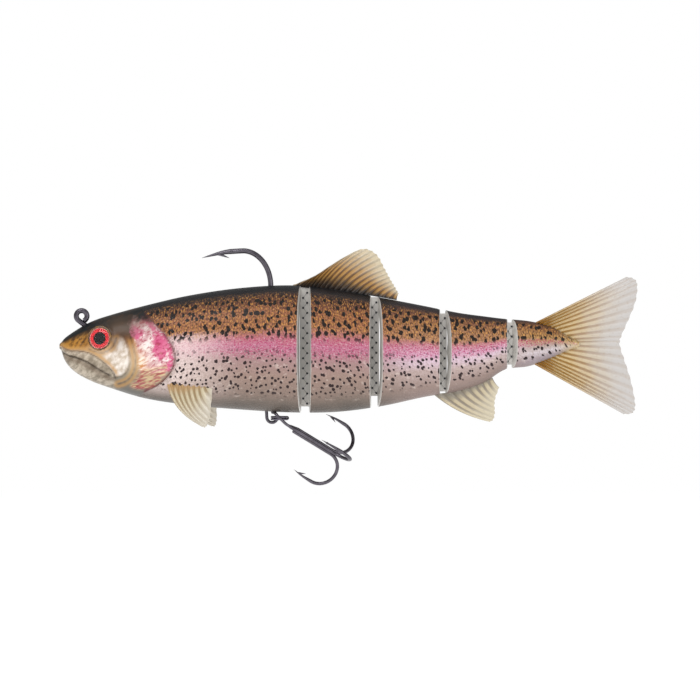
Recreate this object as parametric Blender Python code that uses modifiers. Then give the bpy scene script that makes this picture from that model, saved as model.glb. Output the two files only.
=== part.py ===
"""A jointed soft-plastic trout swimbait, 180 mm long, built as separate solids.

Frame: metres, +Z up, the nose towards -X and the tail towards +X. The origin is the centre
of the line-tie eye, and the fish's middle plane is Y = 0. Sizes below are in millimetres
and are turned into metres by MM.
"""

import math

import bmesh
import bpy
from mathutils import Matrix, Vector

MM = 0.001
GAP = 0.3  # clearance between a piece and the pocket that holds it

# The trunk's outline: x, top z, bottom z, half-width, from the snout to the tail root.
TRUNK = [
    (-6.4, -8.3, -10.6, 1.3),
    (-5.2, -6.9, -14.0, 3.3),
    (-2.3, -4.8, -17.3, 4.9),
    (2.5, -2.0, -20.1, 6.3),
    (8.0, 0.0, -22.2, 7.7),
    (20.0, 3.3, -25.8, 10.0),
    (34.0, 6.5, -27.9, 11.3),
    (50.0, 8.8, -29.3, 11.8),
    (66.0, 9.6, -30.2, 11.4),
    (80.0, 8.2, -30.0, 10.6),
    (94.0, 5.7, -28.2, 9.2),
    (107.0, 3.2, -25.4, 7.7),
    (118.0, 1.0, -23.5, 6.2),
    (126.0, -0.1, -20.8, 5.0),
    (132.5, -0.9, -16.8, 4.1),
    (140.0, -1.6, -15.7, 3.5),
    (147.0, -3.3, -13.2, 2.7),
    (152.5, -6.2, -11.0, 2.0),
]
ROUNDNESS = 2.2  # superellipse power of a cross-section
RING_SIDES = 32

# Each cut: hinge axis x, the front piece's face x and slant, the rear piece's face x and slant.
# A face sets back from its x by the slant times the distance from the middle plane.
CUTS = [
    {"hinge": 69.95, "front": (68.7, 0.10), "rear": (71.2, 0.05), "web": (8.7, -28.3)},
    {"hinge": 91.60, "front": (90.6, 0.04), "rear": (92.6, 0.165), "web": (5.7, -25.0)},
    {"hinge": 113.00, "front": (112.2, 0.02), "rear": (113.8, 0.26), "web": (0.6, -23.6)},
    {"hinge": 133.95, "front": (133.3, 0.03), "rear": (134.6, 0.44), "web": (-2.2, -15.2)},
]
NOSE_X = TRUNK[0][0]
TAIL_ROOT_X = TRUNK[-1][0]

# The net harness: one thin panel in each section, meeting its neighbour at the hinge axis.
PANEL_THICK = 1.0
PANEL_END_GAP = 0.5
TONGUE_INSET = 3.2  # how far the panel's hidden tongue stays below the back and above the belly
FRONT_TONGUE_X = 62.6
REAR_TONGUE_X = 139.2

# The jig hook and its line-tie eye.
HOOK_WIRE = 1.65
EYE_RADIUS = 1.68  # centre line of the ring
HOOK_BEND = (50.5, 9.4, 8.7, 11.0)  # centre x and z, and the two radii of the bend
HOOK_TIP = (37.7, 18.2)

# The lead weight: centre x and z, and its three radii.
WEIGHT_CENTRE = (27.0, -11.5)
WEIGHT_RADII = (20.0, 5.0, 10.5)

# The belly eyelet.
EYELET_CENTRE = (59.6, -31.7)
EYELET_RADIUS = 1.63
EYELET_WIRE = 1.0

# The split ring, lying flat, and the treble hook that hangs on its near side.
RING_CENTRE = (62.05, -31.95)
RING_RADIUS = 2.58
RING_WIRE = 0.62
RING_PITCH = 0.68
TREBLE_EYE = (61.8, -2.5, -32.5)
TREBLE_DOWN = math.radians(31.5)
TREBLE_ASIDE = math.radians(9.0)
EYE_LEAN = math.radians(45.0)
TREBLE_WIRE = 1.1
TREBLE_EYE_WIRE = 0.9
SHANK_OFFSET = 0.72  # from the treble's axis to each wire's centre
TREBLE_BEND = (19.5, 5.1, 5.7)  # distance from the eye, and the two radii of the bend
TREBLE_POINT = (12.9, 11.7)  # distance from the eye and from the axis
SINGLE_START = 5.7

# The glass eyes.
FISH_EYE = (6.0, -7.0)
IRIS_RADIUS = 3.3
IRIS_THICK = 0.6
LENS_RIM = 0.3
LENS_RISE = 0.9
EYE_TURN = math.radians(17.0)  # how far each eye looks forwards
EYE_LIFT = math.radians(6.0)

FIN_THICK = 1.2

COLOURS = {
    "body": (0.62, 0.42, 0.33),
    "fin": (0.80, 0.68, 0.45),
    "net": (0.42, 0.44, 0.44),
    "steel": (0.17, 0.15, 0.17),
    "lead": (0.30, 0.31, 0.33),
    "iris": (0.85, 0.08, 0.08),
    "lens": (0.95, 0.90, 0.88),
}


# ---------------------------------------------------------------- scene helpers


def clear_scene():
    for obj in list(bpy.data.objects):
        bpy.data.objects.remove(obj)


def make_collection(name):
    collection = bpy.data.collections.new(name)
    bpy.context.scene.collection.children.link(collection)
    return collection


def make_material(name, roughness, metallic=0.0, alpha=1.0):
    material = bpy.data.materials.new(name)
    material.use_nodes = True
    shader = material.node_tree.nodes["Principled BSDF"]
    shader.inputs["Base Color"].default_value = (*COLOURS[name], 1.0)
    shader.inputs["Roughness"].default_value = roughness
    shader.inputs["Metallic"].default_value = metallic
    shader.inputs["Alpha"].default_value = alpha
    return material


def finish_mesh(bm, name):
    """Turns a bmesh in millimetres into a mesh in metres with its faces pointing out."""
    bmesh.ops.remove_doubles(bm, verts=bm.verts, dist=0.001)
    bmesh.ops.recalc_face_normals(bm, faces=bm.faces)
    bmesh.ops.scale(bm, vec=(MM, MM, MM), verts=bm.verts)
    mesh = bpy.data.meshes.new(name)
    bm.to_mesh(mesh)
    bm.free()
    return mesh


def add_part(name, mesh, material, smooth=True, at=(0, 0, 0)):
    """Puts a mesh in the model's collection. `at`, in millimetres, becomes its origin."""
    origin = Vector(at) * MM
    mesh.transform(Matrix.Translation(-origin))
    obj = bpy.data.objects.new(name, mesh)
    obj.location = origin
    obj.data.materials.clear()
    obj.data.materials.append(material)
    PARTS.objects.link(obj)
    if smooth:
        mesh.shade_smooth()
        mesh.set_sharp_from_angle(angle=math.radians(40))
    return obj


def add_cutter(name, mesh):
    obj = bpy.data.objects.new(name, mesh)
    obj.hide_render = True
    obj.display_type = "WIRE"
    CUTTERS.objects.link(obj)
    return obj


def cut(obj, *cutters, operation="DIFFERENCE"):
    for cutter in cutters:
        modifier = obj.modifiers.new(cutter.name, "BOOLEAN")
        modifier.operation = operation
        modifier.object = cutter
    return obj


# ---------------------------------------------------------------- curves and interpolation


def smooth_rows(rows, x):
    """Reads a table of rows (x, a, b, ...) at x, with a curve that is smooth at every row."""
    last = len(rows) - 2
    i = max(0, min(last, sum(1 for row in rows[1:-1] if row[0] <= x)))
    x0, x1 = rows[i][0], rows[i + 1][0]
    t = min(1.0, max(0.0, (x - x0) / (x1 - x0)))
    found = []
    for k in range(1, len(rows[0])):

        def slope(j):
            before, after = rows[max(0, j - 1)], rows[min(len(rows) - 1, j + 1)]
            return (after[k] - before[k]) / (after[0] - before[0])

        a, b = rows[i][k], rows[i + 1][k]
        m0, m1 = slope(i) * (x1 - x0), slope(i + 1) * (x1 - x0)
        found.append(
            (2 * t**3 - 3 * t**2 + 1) * a
            + (t**3 - 2 * t**2 + t) * m0
            + (3 * t**2 - 2 * t**3) * b
            + (t**3 - t**2) * m1
        )
    return found


def smooth_path(points, per_span):
    """A Catmull-Rom curve through the points, each a tuple of any length."""
    path = []
    for i in range(len(points) - 1):
        p0 = points[max(0, i - 1)]
        p1, p2 = points[i], points[i + 1]
        p3 = points[min(len(points) - 1, i + 2)]
        for step in range(per_span):
            t = step / per_span
            path.append(
                tuple(
                    0.5
                    * (
                        2 * b
                        + (c - a) * t
                        + (2 * a - 5 * b + 4 * c - d) * t**2
                        + (3 * b - a - 3 * c + d) * t**3
                    )
                    for a, b, c, d in zip(p0, p1, p2, p3)
                )
            )
    return path + [tuple(points[-1])]


def arc(centre, radii, start, end, steps):
    """Points of an ellipse's arc in a plane, by angle in degrees."""
    found = []
    for i in range(steps + 1):
        a = math.radians(start + (end - start) * i / steps)
        found.append((centre[0] + radii[0] * math.cos(a), centre[1] + radii[1] * math.sin(a)))
    return found


# ---------------------------------------------------------------- the trunk


def trunk_ring_point(x, turn):
    """The trunk's surface at x. Turn is 0 at the back and 1 all the way round."""
    top, bottom, half_width = smooth_rows(TRUNK, x)
    a = 2 * math.pi * turn
    side, up = math.sin(a), math.cos(a)
    power = 2 / ROUNDNESS
    y = -half_width * math.copysign(abs(side) ** power, side)
    z = (top + bottom) / 2 + (top - bottom) / 2 * math.copysign(abs(up) ** power, up)
    return Vector((x, y, z))


def trunk_section(name, front, rear, steps, crowd_front=1.0):
    """A length of trunk between two slanted faces, closed at both ends."""
    (front_x, front_slant), (rear_x, rear_slant) = front, rear
    bm = bmesh.new()
    rings = []
    for i in range(steps + 1):
        u = (i / steps) ** crowd_front
        x = front_x + (rear_x - front_x) * u
        ring = []
        for k in range(RING_SIDES):
            turn = k / RING_SIDES
            reach = abs(trunk_ring_point(x, turn).y)
            shifted = x + (1 - u) * front_slant * reach - u * rear_slant * reach
            ring.append(bm.verts.new(trunk_ring_point(shifted, turn)))
        rings.append(ring)
    for a, b in zip(rings, rings[1:]):
        for k in range(RING_SIDES):
            n = (k + 1) % RING_SIDES
            bm.faces.new((a[k], a[n], b[n], b[k]))
    close_ladder(bm, rings[0], front_x)
    close_ladder(bm, rings[-1], rear_x)
    return finish_mesh(bm, name)


def close_ladder(bm, ring, x):
    """Closes an end with rungs that meet at the middle plane, at x."""
    half = RING_SIDES // 2
    middle = [ring[0]]
    for k in range(1, half):
        middle.append(bm.verts.new((x, 0, ring[k].co.z)))
    middle.append(ring[half])
    for k in range(half):
        for side in (1, -1):
            a, b = ring[side * k], ring[side * (k + 1)]
            corners = [a, b, middle[k + 1], middle[k]]
            bm.faces.new(list(dict.fromkeys(corners)))


# ---------------------------------------------------------------- primitives


def box_mesh(name, low, high):
    bm = bmesh.new()
    bmesh.ops.create_cube(bm, size=1.0)
    size = Vector(high) - Vector(low)
    bmesh.ops.scale(bm, vec=size, verts=bm.verts)
    bmesh.ops.translate(bm, vec=(Vector(low) + Vector(high)) / 2, verts=bm.verts)
    return finish_mesh(bm, name)


def ellipsoid_mesh(name, centre, radii, rounds=20, rows=12):
    bm = bmesh.new()
    bmesh.ops.create_uvsphere(bm, u_segments=rounds, v_segments=rows, radius=1.0)
    bmesh.ops.scale(bm, vec=radii, verts=bm.verts)
    bmesh.ops.translate(bm, vec=centre, verts=bm.verts)
    return finish_mesh(bm, name)


def plate_mesh(name, outline, thick, turn=None):
    """A flat plate from an outline of (x, z) points, standing in the XZ plane about Y = 0."""
    data = bpy.data.curves.new(name, "CURVE")
    data.dimensions = "2D"
    data.fill_mode = "BOTH"
    data.extrude = thick / 2 * MM
    spline = data.splines.new("POLY")
    spline.use_cyclic_u = True
    spline.points.add(len(outline) - 1)
    for (x, z), place in zip(outline, spline.points):
        place.co = (x * MM, z * MM, 0.0, 1.0)
    mesh = mesh_of_curve(data)
    mesh.transform(Matrix.Rotation(math.pi / 2, 4, "X"))
    if turn is not None:
        placed = turn.copy()
        placed.translation = placed.translation * MM
        mesh.transform(placed)
    return mesh


def turned(obj_name, profile, sides, placed, add, *given):
    """A profile of (radius, height) points turned about the local Z axis by a Screw modifier."""
    mesh = bpy.data.meshes.new(obj_name)
    points = [(radius * MM, 0.0, height * MM) for radius, height in profile[::-1]]
    mesh.from_pydata(points, [(i, i + 1) for i in range(len(points) - 1)], [])
    obj = add(obj_name, mesh, *given)
    screw = obj.modifiers.new("turn", "SCREW")
    screw.steps = sides
    screw.render_steps = sides
    screw.use_merge_vertices = True
    screw.merge_threshold = 0.00001
    place = placed.copy()
    place.translation = place.translation * MM
    obj.matrix_world = place
    return obj


def mesh_of_curve(data):
    """The closed mesh of a curve, with its caps welded on."""
    curve = bpy.data.objects.new(data.name, data)
    bpy.context.scene.collection.objects.link(curve)
    bpy.context.view_layer.update()
    graph = bpy.context.evaluated_depsgraph_get()
    mesh = bpy.data.meshes.new_from_object(curve.evaluated_get(graph))
    bpy.data.objects.remove(curve)
    bm = bmesh.new()
    bm.from_mesh(mesh)
    bmesh.ops.remove_doubles(bm, verts=bm.verts, dist=1e-6)
    bmesh.ops.recalc_face_normals(bm, faces=bm.faces)
    bm.to_mesh(mesh)
    bm.free()
    return mesh


def wire_mesh(name, points, diameter, radii=None):
    """A round wire along the points, as a bevelled curve with filled caps made into a mesh."""
    data = bpy.data.curves.new(name, "CURVE")
    data.dimensions = "3D"
    data.bevel_depth = diameter / 2 * MM
    data.bevel_resolution = 2
    data.use_fill_caps = True
    spline = data.splines.new("POLY")
    spline.points.add(len(points) - 1)
    for i, (point, place) in enumerate(zip(points, spline.points)):
        place.co = (*(Vector(point) * MM), 1.0)
        place.radius = radii[i] if radii else 1.0
    return mesh_of_curve(data)


def in_plane(points):
    """(x, z) points as points of the middle plane."""
    return [(x, 0.0, z) for x, z in points]


def barb_mesh(name, root, tip, thick):
    """The barb's cone, from the wire's middle to the barb's tip."""
    root, tip = Vector(root), Vector(tip)
    bm = bmesh.new()
    bmesh.ops.create_cone(
        bm, cap_ends=True, segments=8, radius1=thick, radius2=thick * 0.12, depth=(tip - root).length
    )
    turn = (tip - root).to_track_quat("Z", "Y").to_matrix().to_4x4()
    bmesh.ops.transform(
        bm, matrix=Matrix.Translation((root + tip) / 2) @ turn, verts=bm.verts
    )
    return finish_mesh(bm, name)


def taper(points, straight):
    """Radii that run down to a needle point over the last `straight` millimetres."""
    left = [0.0]
    for a, b in zip(points[::-1], points[-2::-1]):
        left.append(left[-1] + (Vector(a) - Vector(b)).length)
    return [max(0.08, min(1.0, (d / straight) ** 0.8)) for d in left[::-1]]


# ---------------------------------------------------------------- steel pieces


def jig_hook_path():
    """The wire's centre line, from the ring's free end round to the point."""
    ring = arc((0, 0), (EYE_RADIUS, EYE_RADIUS), -42, 235, 20)
    leg = [(0.9, -2.75), (3.4, -4.1), (8.0, -4.6), (20.0, -3.9), (36.0, -2.5)]
    centre_x, centre_z, along, up = HOOK_BEND
    bend = arc((centre_x, centre_z), (along, up), -90, 90, 20)
    spear = [(44.5, 19.9), HOOK_TIP]
    middle = smooth_path([ring[-1], *leg, bend[0]], 4)[1:-1]
    return ring + middle + bend + smooth_path([bend[-1], *spear], 4)[1:]


def jig_hook(steel):
    path = in_plane(jig_hook_path())
    hook = add_part("jig_hook", wire_mesh("jig_hook", path, HOOK_WIRE, taper(path, 9.0)), steel)
    barb = barb_mesh("hook_barb", (43.2, 0, 19.55), (46.2, 0, 18.3), 0.45)
    cut(hook, add_cutter("hook_barb", barb), operation="UNION")
    return hook


def eyelet_path():
    leg = [(39.0, -14.5), (47.0, -19.0), (54.0, -23.8), (57.3, -27.5)]
    loop = arc(EYELET_CENTRE, (EYELET_RADIUS, EYELET_RADIUS), 190, 455, 20)
    return smooth_path([*leg, loop[0]], 4)[:-1] + loop


def belly_eyelet(steel):
    path = in_plane(eyelet_path())
    add_part("belly_eyelet", wire_mesh("belly_eyelet", path, EYELET_WIRE), steel)


def split_ring(steel):
    """Two flat coils of one wire, joined by a short step."""
    start, ramp, end, steps = 30.0, 330.0, 690.0, 56
    path = []
    for i in range(steps + 1):
        angle = start + (end - start) * i / steps
        t = min(1.0, max(0.0, (angle - ramp) / 60.0))
        height = RING_PITCH * (t * t * (3 - 2 * t) - 0.5)
        a = math.radians(angle)
        x = RING_CENTRE[0] + RING_RADIUS * math.cos(a)
        y = RING_RADIUS * math.sin(a)
        path.append((x, y, RING_CENTRE[1] + height))
    mesh = wire_mesh("split_ring", path, RING_WIRE)
    hinge = (RING_CENTRE[0] - RING_RADIUS, 0, RING_CENTRE[1])
    add_part("split_ring", mesh, steel, at=hinge)


def treble_axes():
    """The treble's axis, and the two directions across it: towards +Y, and up."""
    flat = math.cos(TREBLE_ASIDE)
    along = Vector(
        (
            math.cos(TREBLE_DOWN) * flat,
            math.sin(TREBLE_ASIDE),
            -math.sin(TREBLE_DOWN) * flat,
        )
    )
    aside = (Vector((0, 1, 0)) - along * along.y).normalized()
    return along, aside, along.cross(aside)


def treble_eye_direction():
    """The eye's loop leans down more steeply than the shank."""
    flat = math.cos(TREBLE_ASIDE)
    return Vector(
        (math.cos(EYE_LEAN) * flat, math.sin(TREBLE_ASIDE), -math.sin(EYE_LEAN) * flat)
    )


def treble_point(s, aside, up):
    along, side, above = treble_axes()
    return Vector(TREBLE_EYE) + along * s + side * aside + above * up


def hook_profile():
    """(distance along the axis, distance from the axis) from the shank's end to the point."""
    middle, along, out = TREBLE_BEND
    bend = arc((middle, SHANK_OFFSET + out), (along, out), -90, 90, 14)
    return bend + smooth_path([bend[-1], (16.1, 12.1), TREBLE_POINT], 3)[1:]


def hook_in_space(angle):
    """The bend and point of the hook that stands at this angle, 0 up and 90 towards +Y."""
    a = math.radians(angle)
    return [treble_point(s, r * math.sin(a), r * math.cos(a)) for s, r in hook_profile()]


def shank_at(s, angle):
    a = math.radians(angle)
    return treble_point(s, SHANK_OFFSET * math.sin(a), SHANK_OFFSET * math.cos(a))


def barb_of(name, angle):
    """A treble hook's barb, which points back from the spear's inner side."""
    a = math.radians(angle)
    places = [(15.1, 11.95), (16.7, 10.95)]
    root, tip = [treble_point(s, r * math.sin(a), r * math.cos(a)) for s, r in places]
    return add_cutter(name, barb_mesh(name, root, tip, 0.3))


UP_HOOK, DOWN_HOOK, NEAR_HOOK = 39, 159, 279


def treble_double(steel):
    """One wire makes two of the hooks and the eye between them."""
    _, aside, _ = treble_axes()
    lean = treble_eye_direction()
    middle = treble_point(2.6, 0, 0) - lean * 2.6
    eye = [
        middle + lean * 2.5 * math.cos(math.radians(b)) + aside * 1.55 * math.sin(math.radians(b))
        for b in range(50, 311, 20)
    ]
    neck_up = [treble_point(3.4, 0.56, 0.0), shank_at(6.8, UP_HOOK)]
    neck_near = [treble_point(3.4, -0.56, 0.0), shank_at(6.8, NEAR_HOOK)]
    middle = [tuple(p) for p in [*neck_up[::-1], *eye, *neck_near]]
    middle = smooth_path(middle, 2)
    up, near = hook_in_space(UP_HOOK), hook_in_space(NEAR_HOOK)
    path = [tuple(p) for p in up[::-1]] + middle + [tuple(p) for p in near]
    needle_up = taper([tuple(p) for p in up], 6.5)[::-1]
    needle_near = taper([tuple(p) for p in near], 6.5)
    thin = TREBLE_EYE_WIRE / TREBLE_WIRE
    radii = needle_up + [thin] * len(middle) + needle_near
    mesh = wire_mesh("treble_double_hook", path, TREBLE_WIRE, radii)
    double = add_part("treble_double_hook", mesh, steel, at=treble_hinge())
    for name, angle in (("barb_up", UP_HOOK), ("barb_near", NEAR_HOOK)):
        cut(double, barb_of(name, angle), operation="UNION")


def treble_single(steel):
    """The third hook, brazed to the other two."""
    bend = hook_in_space(DOWN_HOOK)
    shank = [shank_at(s, DOWN_HOOK) for s in (SINGLE_START, 9.0, 13.0, 17.5)]
    path = [tuple(p) for p in shank + bend]
    mesh = wire_mesh("treble_single_hook", path, TREBLE_WIRE, taper(path, 6.5))
    single = add_part("treble_single_hook", mesh, steel, at=treble_hinge())
    cut(single, barb_of("barb_down", DOWN_HOOK), operation="UNION")


def treble_hinge():
    """The middle of the ring's near side, where the treble's eye hangs."""
    return (RING_CENTRE[0], -RING_RADIUS, RING_CENTRE[1])


# ---------------------------------------------------------------- eyes and fins


def eye_frame(side):
    """Places an eye: local Z looks out of the head. Side is -1 on the left and 1 on the right."""
    x, z = FISH_EYE
    half_width = smooth_rows(TRUNK, x)[2]
    out = Vector(
        (
            -math.sin(EYE_TURN) * math.cos(EYE_LIFT),
            side * math.cos(EYE_TURN) * math.cos(EYE_LIFT),
            math.sin(EYE_LIFT),
        )
    )
    turn = out.to_track_quat("Z", "Y").to_matrix().to_4x4()
    return Matrix.Translation((x, side * (half_width - 0.55), z)) @ turn


def eye_parts(side, word, iris, lens):
    placed = eye_frame(side)
    r = IRIS_RADIUS
    disc = [(0, -IRIS_THICK), (r, -IRIS_THICK), (r, 0), (0, 0)]
    turned(f"eye_iris_{word}", disc, 24, placed, add_part, iris)
    low = 0.1
    dome = [(0, low), (r, low)]
    for step in range(7):
        a = math.radians(90 * step / 6)
        dome.append((r * math.cos(a), low + LENS_RIM + LENS_RISE * math.sin(a)))
    dome[-1] = (0, dome[-1][1])
    turned(f"eye_lens_{word}", dome, 24, placed, add_part, lens)
    deep = IRIS_THICK + GAP
    socket = [(0, -deep), (r + GAP, -deep), (r + GAP, 4.0), (0, 4.0)]
    return turned(f"eye_socket_{word}", socket, 24, placed, add_cutter)


PECTORAL = [
    (0.0, 0.6),
    (2.0, -3.1),
    (4.1, -6.9),
    (6.6, -10.1),
    (9.1, -12.8),
    (11.4, -14.7),
    (12.9, -14.9),
    (13.6, -13.0),
    (14.1, -9.0),
    (14.5, -4.0),
    (14.6, 0.2),
]


def pectoral_frame(side, splay, sweep):
    """Places a pectoral fin: its root at the origin, its blade down along local -Z."""
    root = Matrix.Translation((26.6, side * 8.5, -21.9))
    lean = Matrix.Rotation(side * math.radians(splay), 4, "X")
    return root @ lean @ Matrix.Rotation(math.radians(-sweep), 4, "Y")


def pectoral_fin(side, word, splay, sweep, material):
    placed = pectoral_frame(side, splay, sweep)
    tab = [(12.6, 0.4), (12.2, 2.6), (2.6, 2.6), (2.2, 0.5)]
    outline = smooth_path(PECTORAL, 2) + tab
    mesh = plate_mesh("pectoral", outline, FIN_THICK, placed)
    add_part(f"pectoral_fin_{word}", mesh, material)
    pocket = [(-0.6, -6.0), (15.4, -6.0), (15.2, 1.2), (12.9, 2.9), (2.0, 2.9), (-0.6, 1.2)]
    cutter = plate_mesh("pectoral_pocket", pocket, FIN_THICK + 2 * GAP, placed)
    return add_cutter(f"pectoral_pocket_{word}", cutter)


def top_of(x):
    return smooth_rows(TRUNK, x)[0]


def bottom_of(x):
    return smooth_rows(TRUNK, x)[1]


def dorsal_fin(material):
    """The back fin: rooted in the second section, its rear lobe free over the third."""
    front, tab_front, tab_rear = 72.0, 74.5, 88.0
    edge = [(front, 12.0), (76.5, 14.6), (81.5, 17.8), (85.6, 20.4), (87.9, 21.1), (90.1, 20.8)]
    rear = [(92.1, 19.5), (94.4, 15.7), (96.9, 10.9), (99.3, 6.9)]
    outline = smooth_path(edge + rear, 3)
    outline += [(98.7, top_of(98.7) + 0.5), (94.0, top_of(94.0) + 0.55)]
    outline += [(tab_rear, top_of(tab_rear) + 0.4)]
    outline += [(tab_rear, top_of(tab_rear) - 3.0), (tab_front, top_of(tab_front) - 3.0)]
    outline += [(tab_front, top_of(tab_front) + 0.4), (front, top_of(front) + 0.4)]
    hinge = (CUTS[0]["hinge"], 0, 0)
    add_part("dorsal_fin", plate_mesh("dorsal", outline, FIN_THICK), material, at=hinge)
    half = FIN_THICK / 2 + GAP
    low = (tab_front - GAP, -half, top_of(tab_rear) - 3.0 - GAP - 0.6)
    high = (tab_rear + GAP, half, top_of(tab_front) + 3.0)
    return add_cutter("dorsal_pocket", box_mesh("dorsal_pocket", low, high))


def anal_fin(material):
    """The fin under the fourth section."""
    front, tab_front, tab_rear = 114.8, 116.5, 127.0
    edge = [(front, -27.2), (118.5, -29.5), (122.5, -31.8), (126.2, -33.1), (128.6, -32.8)]
    rear = [(129.3, -30.5), (129.4, -26.5), (130.7, -22.3)]
    outline = smooth_path(edge + rear, 3)
    outline += [(129.2, bottom_of(129.2) - 0.45), (tab_rear, bottom_of(tab_rear) - 0.4)]
    outline += [(tab_rear, bottom_of(tab_rear) + 2.6), (tab_front, bottom_of(tab_front) + 2.6)]
    outline += [(tab_front, bottom_of(tab_front) - 0.4), (front, bottom_of(front) - 0.4)]
    hinge = (CUTS[2]["hinge"], 0, 0)
    add_part("anal_fin", plate_mesh("anal", outline, FIN_THICK), material, at=hinge)
    half = FIN_THICK / 2 + GAP
    ceiling = 2.6 + GAP
    pocket = [
        (tab_front - GAP, bottom_of(tab_front) - 3.0),
        (tab_rear + GAP, bottom_of(tab_rear) - 3.0),
        (tab_rear + GAP, bottom_of(tab_rear) + ceiling),
        (tab_front - GAP, bottom_of(tab_front) + ceiling),
    ]
    return add_cutter("anal_pocket", plate_mesh("anal_pocket", pocket, 2 * half))


CAUDAL_EDGE = [
    (140.8, -2.6),
    (146.9, 2.2),
    (153.0, 5.3),
    (159.2, 8.6),
    (165.7, 11.3),
    (170.6, 12.3),
    (172.8, 12.0),
    (173.9, 9.6),
    (173.3, 4.3),
    (170.7, -2.4),
    (168.4, -8.6),
    (170.2, -15.0),
    (172.4, -22.3),
    (173.1, -28.2),
    (171.8, -30.6),
    (167.5, -30.1),
    (162.7, -27.7),
    (156.5, -25.0),
    (150.8, -22.0),
    (146.0, -18.7),
    (140.8, -14.8),
]


def caudal_fin(material):
    """The tail fin, a forked blade whose root stands between the tail root's two cheeks."""
    outline = smooth_path(CAUDAL_EDGE, 2)
    hinge = (CUTS[3]["hinge"], 0, 0)
    add_part("caudal_fin", plate_mesh("caudal", outline, FIN_THICK), material, at=hinge)
    half = FIN_THICK / 2 + GAP
    low = (CAUDAL_EDGE[0][0] - GAP, -half, -25.0)
    return add_cutter("caudal_pocket", box_mesh("caudal_pocket", low, (160.0, half, 10.0)))


# ---------------------------------------------------------------- harness and sections


def harness_panel(index, net):
    """A section's length of net, and the cutter for the slot that its tongue lies in."""
    front = CUTS[index - 1] if index > 0 else None
    rear = CUTS[index] if index < len(CUTS) else None
    left = front["rear"][0] if front else FRONT_TONGUE_X
    right = rear["front"][0] if rear else REAR_TONGUE_X
    tongue_left = left - GAP if front else left
    tongue_right = right + GAP if rear else right

    def span(x):
        return top_of(x) - TONGUE_INSET, bottom_of(x) + TONGUE_INSET

    upper, lower = [], []
    if front:
        start = front["hinge"] + PANEL_END_GAP / 2
        upper += [(start, front["web"][0]), (tongue_left, front["web"][0])]
        lower += [(start, front["web"][1]), (tongue_left, front["web"][1])]
    for x in (tongue_left, tongue_right):
        inside = min(max(x, left), right)
        high, low = span(inside)
        webs = [c["web"] for c in (front, rear) if c]
        high = min([high] + [w[0] - 1.0 for w in webs])
        low = max([low] + [w[1] + 1.0 for w in webs])
        upper.append((x, high))
        lower.append((x, low))
    if rear:
        end = rear["hinge"] - PANEL_END_GAP / 2
        upper += [(tongue_right, rear["web"][0]), (end, rear["web"][0])]
        lower += [(tongue_right, rear["web"][1]), (end, rear["web"][1])]
    outline = upper + lower[::-1]
    hinge = (front["hinge"], 0, 0) if front else (0, 0, 0)
    mesh = plate_mesh("panel", outline, PANEL_THICK)
    add_part(f"net_panel_{index + 1}", mesh, net, smooth=False, at=hinge)

    high = max(z for x, z in upper[(2 if front else 0) : (4 if front else 2)])
    low = min(z for x, z in lower[(2 if front else 0) : (4 if front else 2)])
    half = PANEL_THICK / 2 + GAP
    ends = (
        left - 3.0 if front else left - GAP,
        right + 3.0 if rear else right + GAP,
    )
    slot = box_mesh("slot", (ends[0], -half, low - GAP), (ends[1], half, high + GAP))
    return add_cutter(f"net_slot_{index + 1}", slot)


def section(index, name, body, cutters, steps):
    """One length of the soft body, between the cut in front of it and the cut behind it."""
    front = CUTS[index - 1]["rear"] if index > 0 else (NOSE_X, 0.0)
    rear = CUTS[index]["front"] if index < len(CUTS) else (TAIL_ROOT_X, 0.0)
    crowd = 1.35 if index == 0 else 1.0
    hinge = (CUTS[index - 1]["hinge"], 0, 0) if index > 0 else (0, 0, 0)
    mesh = trunk_section(name, front, rear, steps, crowd)
    return cut(add_part(name, mesh, body, at=hinge), *cutters)


def lead_weight(lead, channels):
    x, z = WEIGHT_CENTRE
    weight = add_part("jig_weight", ellipsoid_mesh("weight", (x, 0, z), WEIGHT_RADII), lead)
    cut(weight, *channels)
    pocket = [r + GAP for r in WEIGHT_RADII]
    return add_cutter("weight_pocket", ellipsoid_mesh("pocket", (x, 0, z), pocket))


def main():
    body = make_material("body", 0.35)
    fin = make_material("fin", 0.4, alpha=0.9)
    net = make_material("net", 0.6, alpha=0.9)
    steel = make_material("steel", 0.3, metallic=1.0)
    lead = make_material("lead", 0.5, metallic=1.0)
    iris = make_material("iris", 0.3)
    lens = make_material("lens", 0.05, alpha=0.3)

    jig_hook(steel)
    belly_eyelet(steel)
    split_ring(steel)
    treble_double(steel)
    treble_single(steel)

    hook_channel = add_cutter(
        "hook_channel",
        wire_mesh("hook_channel", in_plane(jig_hook_path()[20:]), HOOK_WIRE + 2 * GAP),
    )
    eyelet_channel = add_cutter(
        "eyelet_channel",
        wire_mesh("eyelet_channel", in_plane(eyelet_path()), EYELET_WIRE + 2 * GAP),
    )
    pocket = lead_weight(lead, [hook_channel, eyelet_channel])

    slots = [harness_panel(i, net) for i in range(len(CUTS) + 1)]
    head_cuts = [pocket, hook_channel, eyelet_channel, slots[0]]
    head_cuts.append(eye_parts(-1, "left", iris, lens))
    head_cuts.append(eye_parts(1, "right", iris, lens))
    head_cuts.append(pectoral_fin(-1, "left", 33, 0, fin))
    head_cuts.append(pectoral_fin(1, "right", 10, 9, fin))
    section(0, "head_section", body, head_cuts, 30)
    section(1, "body_section_2", body, [slots[1], dorsal_fin(fin)], 6)
    section(2, "body_section_3", body, [slots[2]], 6)
    section(3, "body_section_4", body, [slots[3], anal_fin(fin)], 6)
    section(4, "tail_section", body, [slots[4], caudal_fin(fin)], 6)


clear_scene()
PARTS = make_collection("swimbait")
CUTTERS = make_collection("cutters")
main()
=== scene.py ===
"""Looks for a jointed trout swimbait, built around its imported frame. Sizes here are in mm."""

import math

import bpy
import numpy as np
from mathutils import Matrix, Vector


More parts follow.
